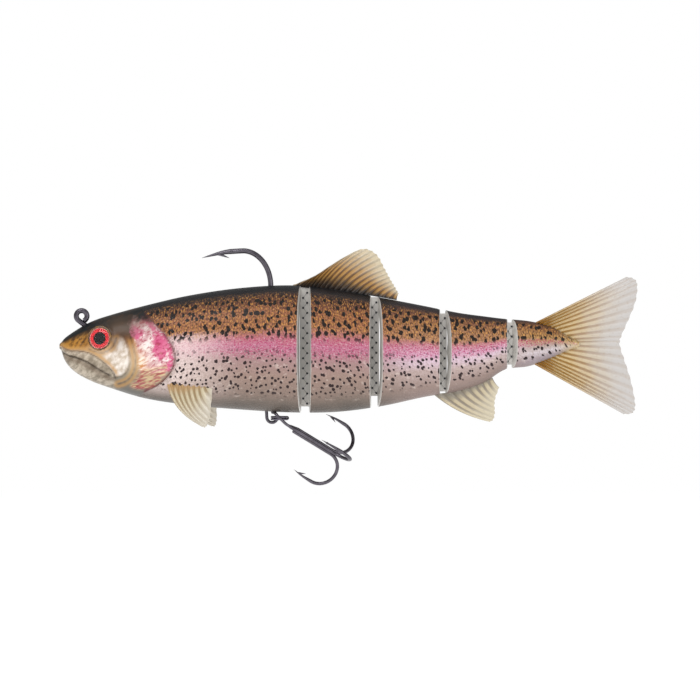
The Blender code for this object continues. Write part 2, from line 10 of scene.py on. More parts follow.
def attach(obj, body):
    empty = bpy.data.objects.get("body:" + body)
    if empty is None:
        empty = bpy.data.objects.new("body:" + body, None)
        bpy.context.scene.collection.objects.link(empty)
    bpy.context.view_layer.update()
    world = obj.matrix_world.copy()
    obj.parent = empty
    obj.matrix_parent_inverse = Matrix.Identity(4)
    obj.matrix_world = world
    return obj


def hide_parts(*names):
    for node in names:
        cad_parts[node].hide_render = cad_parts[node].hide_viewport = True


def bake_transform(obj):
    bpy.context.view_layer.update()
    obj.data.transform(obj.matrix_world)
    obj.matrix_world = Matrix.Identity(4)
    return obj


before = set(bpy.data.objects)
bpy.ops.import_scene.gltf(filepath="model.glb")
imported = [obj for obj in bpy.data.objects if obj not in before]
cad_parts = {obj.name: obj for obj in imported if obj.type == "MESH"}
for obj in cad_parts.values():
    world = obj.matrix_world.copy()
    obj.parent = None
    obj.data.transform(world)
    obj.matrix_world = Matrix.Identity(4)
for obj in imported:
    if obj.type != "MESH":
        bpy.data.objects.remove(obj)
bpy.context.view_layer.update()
MM = 0.001

# x, top z, bottom z, half-width of the trunk, from the snout to the tail root.
TRUNK = np.array(
    [
        (-6.4, -8.3, -10.6, 1.3),
        (-5.2, -6.9, -14.0, 3.3),
        (-2.3, -4.8, -17.3, 4.9),
        (2.5, -2.0, -20.1, 6.3),
        (8.0, 0.0, -22.2, 7.7),
        (20.0, 3.3, -25.8, 10.0),
        (34.0, 6.5, -27.9, 11.3),
        (50.0, 8.8, -29.3, 11.8),
        (66.0, 9.6, -30.2, 11.4),
        (80.0, 8.2, -30.0, 10.6),
        (94.0, 5.7, -28.2, 9.2),
        (107.0, 3.2, -25.4, 7.7),
        (118.0, 1.0, -23.5, 6.2),
        (126.0, -0.1, -20.8, 5.0),
        (132.5, -0.9, -16.8, 4.1),
        (140.0, -1.6, -15.7, 3.5),
        (147.0, -3.3, -13.2, 2.7),
        (152.0, -6.0, -11.0, 1.9),
        (156.0, -8.0, -9.6, 1.0),
    ]
)
ROUNDNESS = 2.2
CUTS = [
    {"hinge": 69.95, "front": (68.7, 0.10), "rear": (71.2, 0.05), "web": (8.9, -28.3)},
    {"hinge": 91.60, "front": (90.6, 0.04), "rear": (92.6, 0.165), "web": (5.9, -25.0)},
    {"hinge": 113.00, "front": (112.2, 0.02), "rear": (113.8, 0.26), "web": (0.8, -23.6)},
    {"hinge": 133.95, "front": (133.3, 0.03), "rear": (134.6, 0.44), "web": (-2.0, -15.2)},
]
BODIES = ["head", "section_2", "section_3", "section_4", "tail"]
FISH_EYE = (6.0, -7.0)
CUT_EDGE = 0.4  # how far the rounded rim of a cut stands back from its face
CUT_LEVELS = [(0.06, 0.22), (0.22, 0.34), (0.7, 0.40), (2.4, 0.40), (4.8, 0.40)]  # in, and out
OTHER_SIDE = 400.0  # keeps the right side's paint pattern apart from the left's


# ---------------------------------------------------------------- helpers


def smooth(low, high, value):
    t = np.clip((value - low) / (high - low), 0, 1)
    return t * t * (3 - 2 * t)


def bell(distance, width):
    return np.exp(-((distance / width) ** 2))


def profile(x):
    """Top z, bottom z and half-width of the trunk at each x, by a smooth cubic."""
    x = np.asarray(x, float)
    knots = TRUNK[:, 0]
    slope = np.empty((len(TRUNK), 3))
    slope[1:-1] = (TRUNK[2:, 1:] - TRUNK[:-2, 1:]) / (knots[2:] - knots[:-2])[:, None]
    slope[0] = (TRUNK[1, 1:] - TRUNK[0, 1:]) / (knots[1] - knots[0])
    slope[-1] = (TRUNK[-1, 1:] - TRUNK[-2, 1:]) / (knots[-1] - knots[-2])
    i = np.clip(np.searchsorted(knots, x, side="right") - 1, 0, len(knots) - 2)
    span = knots[i + 1] - knots[i]
    t = np.clip((x - knots[i]) / span, 0, 1)[..., None]
    a, b = TRUNK[i, 1:], TRUNK[i + 1, 1:]
    m0, m1 = slope[i] * span[..., None], slope[i + 1] * span[..., None]
    found = (2 * t**3 - 3 * t**2 + 1) * a + (t**3 - 2 * t**2 + t) * m0
    found = found + (3 * t**2 - 2 * t**3) * b + (t**3 - t**2) * m1
    return found[..., 0], found[..., 1], found[..., 2]


def catmull(points, count):
    """A smooth curve of `count` points through the given ones."""
    points = np.asarray(points, float)
    t = np.linspace(0, len(points) - 1, count)
    i = np.clip(t.astype(int), 0, len(points) - 2)
    f = (t - i)[:, None]
    p0 = points[np.maximum(i - 1, 0)]
    p1, p2 = points[i], points[i + 1]
    p3 = points[np.minimum(i + 2, len(points) - 1)]
    return 0.5 * (
        2 * p1
        + (p2 - p0) * f
        + (2 * p0 - 5 * p1 + 4 * p2 - p3) * f**2
        + (3 * p1 - p0 - 3 * p2 + p3) * f**3
    )


def from_curve(x, z, curve):
    """Each point's distance from a curve in the side view, its side (+ on the left of the
    way the curve runs) and how far along the curve it is, from 0 to 1."""
    curve = catmull(curve, 60)
    a, b = curve[:-1], curve[1:]
    d = b - a
    px, pz = x[..., None] - a[:, 0], z[..., None] - a[:, 1]
    t = np.clip((px * d[:, 0] + pz * d[:, 1]) / (d**2).sum(1), 0, 1)
    gap = np.hypot(px - t * d[:, 0], pz - t * d[:, 1])
    k = gap.argmin(-1)

    def nearest(values):
        return np.take_along_axis(values, k[..., None], -1)[..., 0]

    side = np.sign(d[k, 0] * nearest(pz) - d[k, 1] * nearest(px))
    along = (k + nearest(t)) / len(a)
    return gap.min(-1), side, along


def make_object(name, verts, faces, materials, slots=None, smooth_angle=40):
    """A mesh object from vertices in millimetres."""
    mesh = bpy.data.meshes.new(name)
    points = [tuple(v) for v in np.asarray(verts) * MM]
    mesh.from_pydata(points, [], [tuple(map(int, f)) for f in faces])
    for material in materials:
        mesh.materials.append(material)
    if slots is not None:
        mesh.polygons.foreach_set("material_index", np.asarray(slots, np.int32))
    mesh.shade_smooth()
    if smooth_angle:
        mesh.set_sharp_from_angle(angle=math.radians(smooth_angle))
    obj = bpy.data.objects.new(name, mesh)
    bpy.context.scene.collection.objects.link(obj)
    return obj


def give(obj, name, values):
    """Stores a value or a vector at each vertex for the material to read."""
    values = np.asarray(values, np.float32)
    kind = "FLOAT" if values.ndim == 1 else "FLOAT_VECTOR"
    attribute = obj.data.attributes.new(name, kind, "POINT")
    attribute.data.foreach_set("value" if values.ndim == 1 else "vector", values.ravel())


def grid_faces(rows, columns, closed=False, start=0, flip=False):
    """The quads between neighbouring rows of vertices."""
    last = columns if closed else columns - 1
    r, c = np.meshgrid(np.arange(rows - 1), np.arange(last), indexing="ij")
    n = (c + 1) % columns
    this, after = r * columns, (r + 1) * columns
    quad = np.stack([this + c, this + n, after + n, after + c], -1).reshape(-1, 4) + start
    return quad[:, ::-1] if flip else quad


def sheet_faces(rows, columns, flip):
    """The faces of a thin sheet: the grid of one side, then of the other, then the edge."""
    count, last = rows * columns, (rows - 1) * columns
    faces = list(grid_faces(rows, columns, flip=flip))
    faces += list(grid_faces(rows, columns, start=count, flip=not flip))
    rim = [(i * columns, (i + 1) * columns) for i in range(rows - 1)]
    rim += [(last + j, last + j + 1) for j in range(columns - 1)]
    rim += [((i + 1) * columns + columns - 1, i * columns + columns - 1) for i in range(rows - 1)]
    rim += [(j + 1, j) for j in range(columns - 1)]
    for a, b in rim:
        if flip:
            faces.append((a, b, b + count, a + count))
        else:
            faces.append((b, a, a + count, b + count))
    return faces


# ---------------------------------------------------------------- materials


class Shader:
    """A material being wired up, with short ways to add its nodes."""

    def __init__(self, name, **sockets):
        self.material = bpy.data.materials.new(name)
        self.material.use_nodes = True
        self.tree = self.material.node_tree
        self.bsdf = self.tree.nodes["Principled BSDF"]
        for key, value in sockets.items():
            self.bsdf.inputs[key.replace("_", " ")].default_value = value

    def node(self, kind, inputs=None, **settings):
        made = self.tree.nodes.new("ShaderNode" + kind)
        for key, value in settings.items():
            setattr(made, key, value)
        for key, value in (inputs or {}).items():
            self.feed(made.inputs[key], value)
        return made

    def feed(self, socket, value):
        if isinstance(value, bpy.types.NodeSocket):
            self.tree.links.new(value, socket)
        elif isinstance(value, bpy.types.Node):
            self.tree.links.new(value.outputs[0], socket)
        elif isinstance(value, str):
            socket.default_value = colour(value)
        else:
            socket.default_value = value

    def attribute(self, name):
        return self.node("Attribute", attribute_name=name)

    def split(self, vector):
        made = self.node("SeparateXYZ", {0: vector})
        return made.outputs[0], made.outputs[1], made.outputs[2]

    def math(self, operation, a, b=0.0, clamp=False):
        return self.node("Math", {0: a, 1: b}, operation=operation, use_clamp=clamp).outputs[0]

    def times(self, first, *others):
        for other in others:
            first = self.math("MULTIPLY", first, other)
        return first

    def fit(self, value, factor, shift):
        inputs = {0: value, 1: factor, 2: shift}
        return self.node("Math", inputs, operation="MULTIPLY_ADD").outputs[0]

    def swing(self, value, amount):
        """A value from 0 to 1 as a change of up to half the amount either way."""
        return self.math("MULTIPLY", self.math("SUBTRACT", value, 0.5), amount)

    def in_mm(self):
        """The object's own coordinates in millimetres."""
        return self.scaled(self.node("TexCoord").outputs["Object"], (1000.0, 1000.0, 1000.0))

    def scaled(self, vector, scale):
        return self.node("VectorMath", {0: vector, 1: scale}, operation="MULTIPLY").outputs[0]

    def shifted(self, vector, offset):
        return self.node("VectorMath", {0: vector, 1: offset}, operation="ADD").outputs[0]

    def noise(self, vector, scale, detail=3.0, roughness=0.5):
        inputs = {"Vector": vector, "Scale": scale, "Detail": detail, "Roughness": roughness}
        return self.node("TexNoise", inputs).outputs["Fac"]

    def warped(self, vector, scale, amount):
        """The vector pushed about by a noise of this scale."""
        push = self.node("TexNoise", {"Vector": vector, "Scale": scale}).outputs["Color"]
        return self.shifted(vector, self.scaled(push, (amount, amount, 0.0)))

    def cells(self, vector, feature="F1", randomness=1.0):
        """Distances in a pattern of flat cells about one unit across."""
        settings = {"feature": feature, "voronoi_dimensions": "2D"}
        inputs = {"Vector": vector, "Scale": 1.0, "Randomness": randomness}
        return self.node("TexVoronoi", inputs, **settings).outputs["Distance"]

    def step(self, value, low, high):
        """0 below low, 1 above high, smooth between. low may be the greater."""
        inputs = {"Value": value, "From Min": low, "From Max": high}
        made = self.node("MapRange", inputs, interpolation_type="SMOOTHSTEP")
        return made.outputs["Result"]

    def between(self, value, low, rise, fall, high):
        """1 from rise to fall, and smoothly down to 0 at low and at high."""
        return self.times(self.step(value, low, rise), self.step(value, high, fall))

    def ramp(self, value, stops):
        made = self.node("ValToRGB", {0: value})
        bar = made.color_ramp
        while len(bar.elements) > 1:
            bar.elements.remove(bar.elements[-1])
        bar.elements[0].position = stops[0][0]
        bar.elements[0].color = colour(stops[0][1])
        for place, shade in stops[1:]:
            bar.elements.new(place).color = colour(shade)
        return made.outputs["Color"]

    def mix(self, amount, a, b, blend="MIX"):
        made = self.node("Mix", data_type="RGBA", blend_type=blend)
        self.feed(made.inputs[0], amount)
        self.feed(made.inputs[6], a)
        self.feed(made.inputs[7], b)
        return made.outputs[2]

    def over(self, under, paint, *amounts):
        """Paint laid over what is under it, by the product of the amounts."""
        return self.mix(self.times(*amounts), under, paint)

    def bump(self, height, distance, strength=1.0, normal=None):
        made = self.node("Bump", {"Height": height, "Distance": distance * MM, "Strength": strength})
        if normal is not None:
            self.feed(made.inputs["Normal"], normal)
        return made.outputs["Normal"]

    def use(self, **sockets):
        for key, value in sockets.items():
            self.feed(self.bsdf.inputs[key.replace("_", " ")], value)
        return self.material


def colour(code):
    """A hex colour as linear RGBA."""
    found = []
    for i in (0, 2, 4):
        c = int(code[i : i + 2], 16) / 255
        found.append(c / 12.92 if c <= 0.04045 else ((c + 0.055) / 1.055) ** 2.4)
    return (*found, 1.0)


FRONT_FLANK = [
    (0.00, "504a45"), (0.08, "6a5f57"), (0.14, "7d6d64"), (0.28, "957d73"), (0.42, "a07f80"),
    (0.52, "b4748a"), (0.60, "ae6d72"), (0.67, "a06c4c"), (0.80, "925c3e"), (0.88, "5e3a2e"),
    (0.94, "241f20"), (1.00, "0c1216"),
]
REAR_FLANK = [
    (0.00, "7c6c67"), (0.10, "8e7b74"), (0.28, "b5a19e"), (0.40, "d2bac9"), (0.48, "c898b0"),
    (0.56, "b88088"), (0.63, "a87c5e"), (0.80, "9c6e4a"), (0.88, "7a503c"), (0.94, "322626"),
    (1.00, "15161a"),
]
TAIL_ROOT = [
    (0.00, "8a7d7c"), (0.10, "978b92"), (0.27, "c6bcc1"), (0.42, "a8958c"), (0.55, "a5845c"),
    (0.72, "a67c4c"), (0.86, "84583a"), (1.00, "4a3228"),
]
HEAD_SIDE = [
    (0.00, "5a5854"), (0.12, "6b675f"), (0.24, "938a78"), (0.38, "c2b29c"), (0.52, "bfa68c"),
    (0.62, "8c6240"), (0.71, "553824"), (0.80, "33271e"), (0.88, "181b1b"), (1.00, "0a1013"),
]


def trout_skin():
    """Painted soft plastic. The attributes are skin: x in mm, height from belly to back from
    0 to 1, and the distance down from the back in mm, which starts at OTHER_SIDE on the
    right side; and four sets of three head masks, in the order that head_relief gives."""
    s = Shader("trout_skin", Roughness=0.38, Coat_Weight=0.04, Coat_Roughness=0.12)
    s.bsdf.inputs["Specular IOR Level"].default_value = 0.2
    skin = s.attribute("skin").outputs["Vector"]
    x, height, down = s.split(skin)
    place = s.node("CombineXYZ", {0: x, 1: down, 2: 0.0}).outputs[0]
    fine = s.noise(place, 0.9, 4.0, 0.6)
    broad = s.noise(place, 0.13, 3.0)
    wander = s.swing(broad, 0.10)
    grain = s.swing(fine, 0.05)
    band = s.math("ADD", s.math("ADD", height, wander), grain)

    flank = s.mix(s.step(x, 86.0, 108.0), s.ramp(band, FRONT_FLANK), s.ramp(band, REAR_FLANK))
    flank = s.mix(s.step(x, 128.0, 144.0), flank, s.ramp(band, TAIL_ROOT))
    flank = s.over(flank, "c6b081", s.step(x, 147.0, 156.0), 0.85)
    paler = s.times(s.step(x, 52.0, 28.0), s.between(height, 0.02, 0.2, 0.6, 0.68))
    flank = s.over(flank, "ead8d4", paler, 0.75)

    # Mottling of the lower flank.
    sand = s.step(s.noise(s.scaled(place, (1.0, 1.4, 1.0)), 1.3, 5.0, 0.65), 0.42, 0.62)
    low = s.between(height, 0.05, 0.14, 0.38, 0.5)
    flank = s.over(flank, "8c766a", sand, low, 0.45)
    pale = s.step(s.noise(s.scaled(place, (0.8, 1.2, 1.0)), 0.5, 4.0, 0.6), 0.56, 0.7)
    flank = s.over(flank, "dccdc4", pale, low, 0.4)

    # Magenta speckle along the lateral band.
    in_band = s.between(height, 0.38, 0.48, 0.57, 0.64)
    speckle = s.step(s.noise(s.scaled(place, (1.0, 1.3, 1.0)), 1.9, 3.0, 0.6), 0.50, 0.57)
    richer = s.fit(s.step(x, 34.0, 56.0), 0.5, 0.35)
    flank = s.over(flank, "a3215a", in_band, speckle, richer)
    glint = s.step(s.noise(s.shifted(place, (40.0, 3.0, 0.0)), 1.6, 3.0), 0.56, 0.66)
    flank = s.over(flank, "dcb9c2", in_band, glint, 0.45)

    # Scales: a staggered lattice with dark edges on the upper flank.
    scales = s.scaled(s.warped(place, 0.5, 0.5), (1.15, 0.95, 1.0))
    lattice = s.cells(scales, "DISTANCE_TO_EDGE", 0.7)
    line = s.step(s.math("ADD", lattice, s.swing(fine, 0.35)), 0.2, 0.04)
    upper = s.between(height, 0.56, 0.66, 0.9, 0.96)
    flecks = s.scaled(place, (2.3, 1.15, 1.0))
    gold_fleck = s.step(s.noise(s.shifted(flecks, (60.0, 20.0, 0.0)), 1.0, 2.0), 0.50, 0.60)
    dark_fleck = s.step(s.noise(flecks, 1.0, 2.0), 0.50, 0.60)
    flank = s.over(flank, "d09548", gold_fleck, upper, 0.6)
    flank = s.over(flank, "40241a", dark_fleck, upper, 0.72)
    flank = s.over(flank, "33190d", line, upper, 0.35)
    lower = s.between(height, 0.08, 0.14, 0.5, 0.6)
    flank = s.over(flank, "7a5a58", line, lower, 0.07)

    # Spots: tall blobs above, small round ones below.
    blot = s.warped(place, 1.1, 0.55)
    tall = s.cells(s.scaled(blot, (0.58, 0.37, 1.0)))
    tall_size = s.fit(s.noise(place, 0.6, 1.0), 0.95, -0.20)
    tall_spot = s.step(s.math("SUBTRACT", tall, tall_size), 0.02, -0.03)
    tall_spot = s.times(tall_spot, s.between(height, 0.54, 0.62, 0.9, 0.97))
    small = s.cells(s.scaled(s.shifted(blot, (31.0, 17.0, 0.0)), (0.60, 0.55, 1.0)))
    small_size = s.fit(s.noise(s.shifted(place, (5.0, 9.0, 0.0)), 0.5, 1.0), 0.62, -0.08)
    small_spot = s.step(s.math("SUBTRACT", small, small_size), 0.01, -0.02)
    below = s.between(height, 0.10, 0.16, 0.40, 0.56)
    small_spot = s.times(small_spot, below)
    tail_free = s.step(x, 155.0, 151.0)
    flank = s.over(flank, "0c0a0a", tall_spot, tail_free, 0.97)
    flank = s.over(flank, "1c0a0e", small_spot, tail_free, 0.97)

    # The head.
    gill, cheek, rim = s.split(s.attribute("head_a").outputs["Vector"])
    is_head, jaw, fold = s.split(s.attribute("head_b").outputs["Vector"])
    head = s.ramp(band, HEAD_SIDE)
    snout = s.times(s.step(x, 7.0, -1.0), s.between(height, 0.5, 0.62, 0.74, 0.90))
    olive = s.mix(s.step(s.noise(place, 0.7, 4.0), 0.42, 0.66), "b27c30", "5e3f1c")
    head = s.over(head, olive, snout, 0.85)
    smudge = s.step(s.noise(place, 0.55, 4.0), 0.5, 0.62)
    head = s.over(head, "3a2617", smudge, s.times(s.step(height, 0.55, 0.66), 0.5))
    silver = s.mix(s.step(s.noise(place, 0.45, 4.0), 0.35, 0.65), "b6a592", "eee6df")
    head = s.over(head, silver, cheek, 0.8)
    magenta, gilt, brown = s.split(s.attribute("head_d").outputs["Vector"])
    blush = s.mix(s.step(s.noise(place, 0.35, 5.0, 0.6), 0.38, 0.62), "c4969a", "ecdfdb")
    broken = s.swing(s.noise(place, 0.9, 5.0, 0.7), 1.8)
    patch = s.step(s.math("ADD", magenta, broken), 0.30, 0.65)
    blush = s.over(blush, "c9487c", patch, 0.85)
    mottle = s.step(s.noise(s.scaled(place, (0.75, 1.25, 1.0)), 0.8, 6.0, 0.7), 0.52, 0.59)
    blush = s.over(blush, "9c1a44", mottle, 0.75)
    brushed = s.noise(s.scaled(place, (0.5, 1.5, 1.0)), 1.0, 3.0)
    gilding = s.mix(s.step(brushed, 0.42, 0.58), "f0e0c8", "c68a48")
    blush = s.over(blush, gilding, gilt, 0.85)
    pink = s.over(blush, "7a4c42", brown, 0.75)
    ragged = s.math("ADD", gill, s.swing(s.noise(place, 0.5, 4.0), 1.1))
    head = s.mix(s.step(ragged, 0.35, 1.0), head, pink)
    stone = s.mix(s.step(s.noise(place, 0.4, 5.0, 0.6), 0.36, 0.64), "7b7060", "bfb2a0")
    head = s.over(head, stone, jaw, 0.85)
    streak = s.noise(s.scaled(place, (0.35, 1.6, 1.0)), 1.0, 3.0)
    head = s.over(head, s.mix(s.step(streak, 0.4, 0.6), "e0c394", "b23a46"), fold, 0.8)
    groove_shade, gold, shade = s.split(s.attribute("head_c").outputs["Vector"])
    head = s.over(head, "b98a4a", gold, 0.75)
    # Painted shade: dark brown under the mouth and behind the eye, and darker still in the grooves and
    # creases of the relief.
    head = s.over(head, "5a4636", shade, 0.7)
    head = s.over(head, "2c1c14", groove_shade, 0.85)
    head = s.mix(rim, head, s.mix(fine, "400a14", "701828"))

    paint = s.mix(is_head, flank, head)
    line_height = s.times(s.step(lattice, 0.0, 0.3), s.math("SUBTRACT", 1.0, is_head))
    normal = s.bump(line_height, 0.12, 0.6)
    normal = s.bump(fine, 0.05, 0.3, normal)
    return s.use(Base_Color=paint, Normal=normal)


def cut_plastic():
    """The unpainted face of a cut: clear grey plastic with flecks in it."""
    s = Shader("cut_plastic", Roughness=0.38, Coat_Weight=0.3, Transmission_Weight=0.12)
    place = s.in_mm()
    cloud = s.noise(place, 0.3, 4.0)
    fleck = s.step(s.noise(place, 2.2, 2.0), 0.62, 0.7)
    base = s.mix(cloud, "a5a19c", "d4d0ca")
    base = s.over(base, "5f5a58", fleck, 0.5)
    return s.use(Base_Color=base, Normal=s.bump(cloud, 0.2, 0.5))


def web_film():
    s = Shader("web_film", Roughness=0.42, Transmission_Weight=0.25, Coat_Weight=0.3)
    place = s.in_mm()
    base = s.mix(s.noise(place, 0.5, 4.0), "c4c0bb", "e4e0da")
    return s.use(Base_Color=base, Normal=s.bump(s.noise(place, 1.5, 2.0), 0.1, 0.4))


def net_thread(name, dark, light):
    s = Shader(name, Roughness=0.7)
    place = s.in_mm()
    base = s.mix(s.noise(place, 3.0, 2.0), dark, light)
    return s.use(Base_Color=base, Normal=s.bump(s.noise(place, 6.0, 2.0), 0.05, 0.6))


def fin_plastic(name, root, membrane, ray, tip, clear, reach=1.0, rooted=0.28, front=0.0):
    """Fin attribute: across the fan, out from the root, and how near to a ray's crest."""
    s = Shader(name, Roughness=0.38, Coat_Weight=0.12, Coat_Roughness=0.15)
    across, out, crest = s.split(s.attribute("fin").outputs["Vector"])
    place = s.in_mm()
    cloud = s.noise(place, 0.35, 4.0)
    drift = s.math("ADD", out, s.swing(cloud, 0.25))
    base = s.mix(s.step(crest, 0.40, 0.88), membrane, ray)
    base = s.mix(s.step(drift, 0.3 * reach, 1.0 * reach), base, tip)
    base = s.over(base, ray, s.step(crest, 0.40, 0.88), s.times(s.step(drift, 0.4, 0.8), 0.14))
    base = s.mix(s.step(drift, rooted, 0.02), base, root)
    base = s.over(base, root, s.step(across, 0.3, 0.02), s.step(out, 1.0, 0.3), front)
    streak = s.step(s.noise(s.scaled(place, (1.0, 1.0, 1.0)), 1.4, 4.0), 0.55, 0.7)
    base = s.over(base, ray, streak, 0.18)
    s.bsdf.inputs["Transmission Weight"].default_value = clear
    return s.use(Base_Color=base, Normal=s.bump(s.noise(place, 1.2, 3.0), 0.08, 0.35))


def hook_steel(name, base, bright, roughness=0.27):
    s = Shader(name, Metallic=1.0)
    place = s.in_mm()
    smudge = s.noise(place, 0.5, 4.0)
    shade = s.mix(smudge, base, bright)
    rough = s.math("ADD", s.times(smudge, 0.16), roughness)
    grain = s.noise(s.scaled(place, (6.0, 6.0, 6.0)), 1.0, 2.0)
    return s.use(Base_Color=shade, Roughness=rough, Normal=s.bump(grain, 0.012, 0.5))


def iris_foil():
    """Iris attribute: the distance from the pupil's centre and the angle round it."""
    s = Shader("iris_foil", Roughness=0.25, Coat_Weight=0.6)
    radius, angle, _ = s.split(s.attribute("iris").outputs["Vector"])
    turn_x = s.node("Math", {0: angle}, operation="COSINE").outputs[0]
    turn_y = s.node("Math", {0: angle}, operation="SINE").outputs[0]
    wheel = {0: s.times(turn_x, 3.0), 1: s.times(turn_y, 3.0), 2: s.times(radius, 0.4)}
    fibre = s.noise(s.node("CombineXYZ", wheel), 4.0, 4.0, 0.7)
    red = s.mix(fibre, "c80a18", "f83844")
    base = s.mix(s.step(radius, 2.0, 1.86), red, "0c0d0c")
    ring = s.between(radius, 1.84, 1.96, 2.02, 2.16)
    base = s.over(base, "7a1018", ring, 0.4)
    base = s.mix(s.step(radius, 2.9, 3.15), base, "f0a8a0")
    return s.use(Base_Color=base)


def eye_glass():
    s = Shader("eye_glass", Roughness=0.02, Transmission_Weight=1.0, IOR=1.12)
    s.bsdf.inputs["Coat Weight"].default_value = 0.3
    s.bsdf.inputs["Coat Roughness"].default_value = 0.02
    place = s.in_mm()
    milky = s.mix(s.noise(place, 0.4), "ffffff", "fbf4f0")
    return s.use(Base_Color=milky, Normal=s.bump(s.noise(place, 0.8), 0.02, 0.2))


def socket_gold():
    s = Shader("socket_gold", Roughness=0.3, Coat_Weight=0.5)
    place = s.in_mm()
    cloud = s.noise(place, 0.9, 4.0)
    gilding = s.mix(s.step(cloud, 0.35, 0.65), "33241a", "84602e")
    return s.use(Base_Color=gilding, Normal=s.bump(cloud, 0.1, 0.5))


def lead_grey():
    s = Shader("lead_grey", Roughness=0.55, Metallic=0.8)
    place = s.in_mm()
    cloud = s.noise(place, 0.3, 5.0)
    return s.use(Base_Color=s.mix(cloud, "4c4d50", "74767a"), Normal=s.bump(cloud, 0.3, 0.5))


# ---------------------------------------------------------------- the head's relief

# Lines on the head, as (x, z) points in the side view.
GILL_EDGE = [
    (20.6, 0.6), (23.9, -3.1), (26.8, -6.3), (28.9, -9.4), (29.8, -12.6),
    (29.4, -15.4), (28.2, -17.8), (26.4, -19.9), (23.8, -21.9), (20.4, -23.6),
]
CHEEK_EDGE = [(13.6, -6.4), (15.2, -10.4), (15.6, -14.0), (14.9, -17.0), (13.0, -18.9), (10.6, -19.4)]
PLATE_EDGE = [(15.6, -6.6), (16.8, -10.8), (17.2, -15.2), (16.2, -18.4), (14.2, -20.4), (11.6, -21.3)]
LIP_EDGE = [
    (-6.3, -9.6), (-3.6, -10.8), (-0.3, -11.0), (2.8, -11.7), (6.0, -13.6), (8.7, -15.9),
    (10.3, -17.8), (10.8, -19.4),
]
MOUTH = [
    (-6.2, -11.2), (-4.0, -12.4), (-1.0, -13.2), (2.2, -14.6), (5.0, -16.4), (7.6, -17.9),
    (9.6, -18.8),
]
EYE_FOLD = [(2.6, -10.4), (5.4, -11.3), (8.0, -11.2), (10.2, -9.4), (11.2, -7.0)]
NOSTRIL = (0.6, -8.2)
FOLDS = [
    [(17.6, -17.6), (21.0, -17.2), (24.6, -16.4), (27.4, -15.8)],
    [(17.2, -18.8), (20.6, -18.8), (24.0, -18.2), (26.8, -17.6)],
    [(16.4, -20.0), (19.6, -20.4), (22.8, -20.0), (25.4, -19.4)],
    [(15.0, -21.2), (18.0, -21.9), (21.0, -21.8), (23.6, -21.2)],
]
HEAD_MASKS = 12


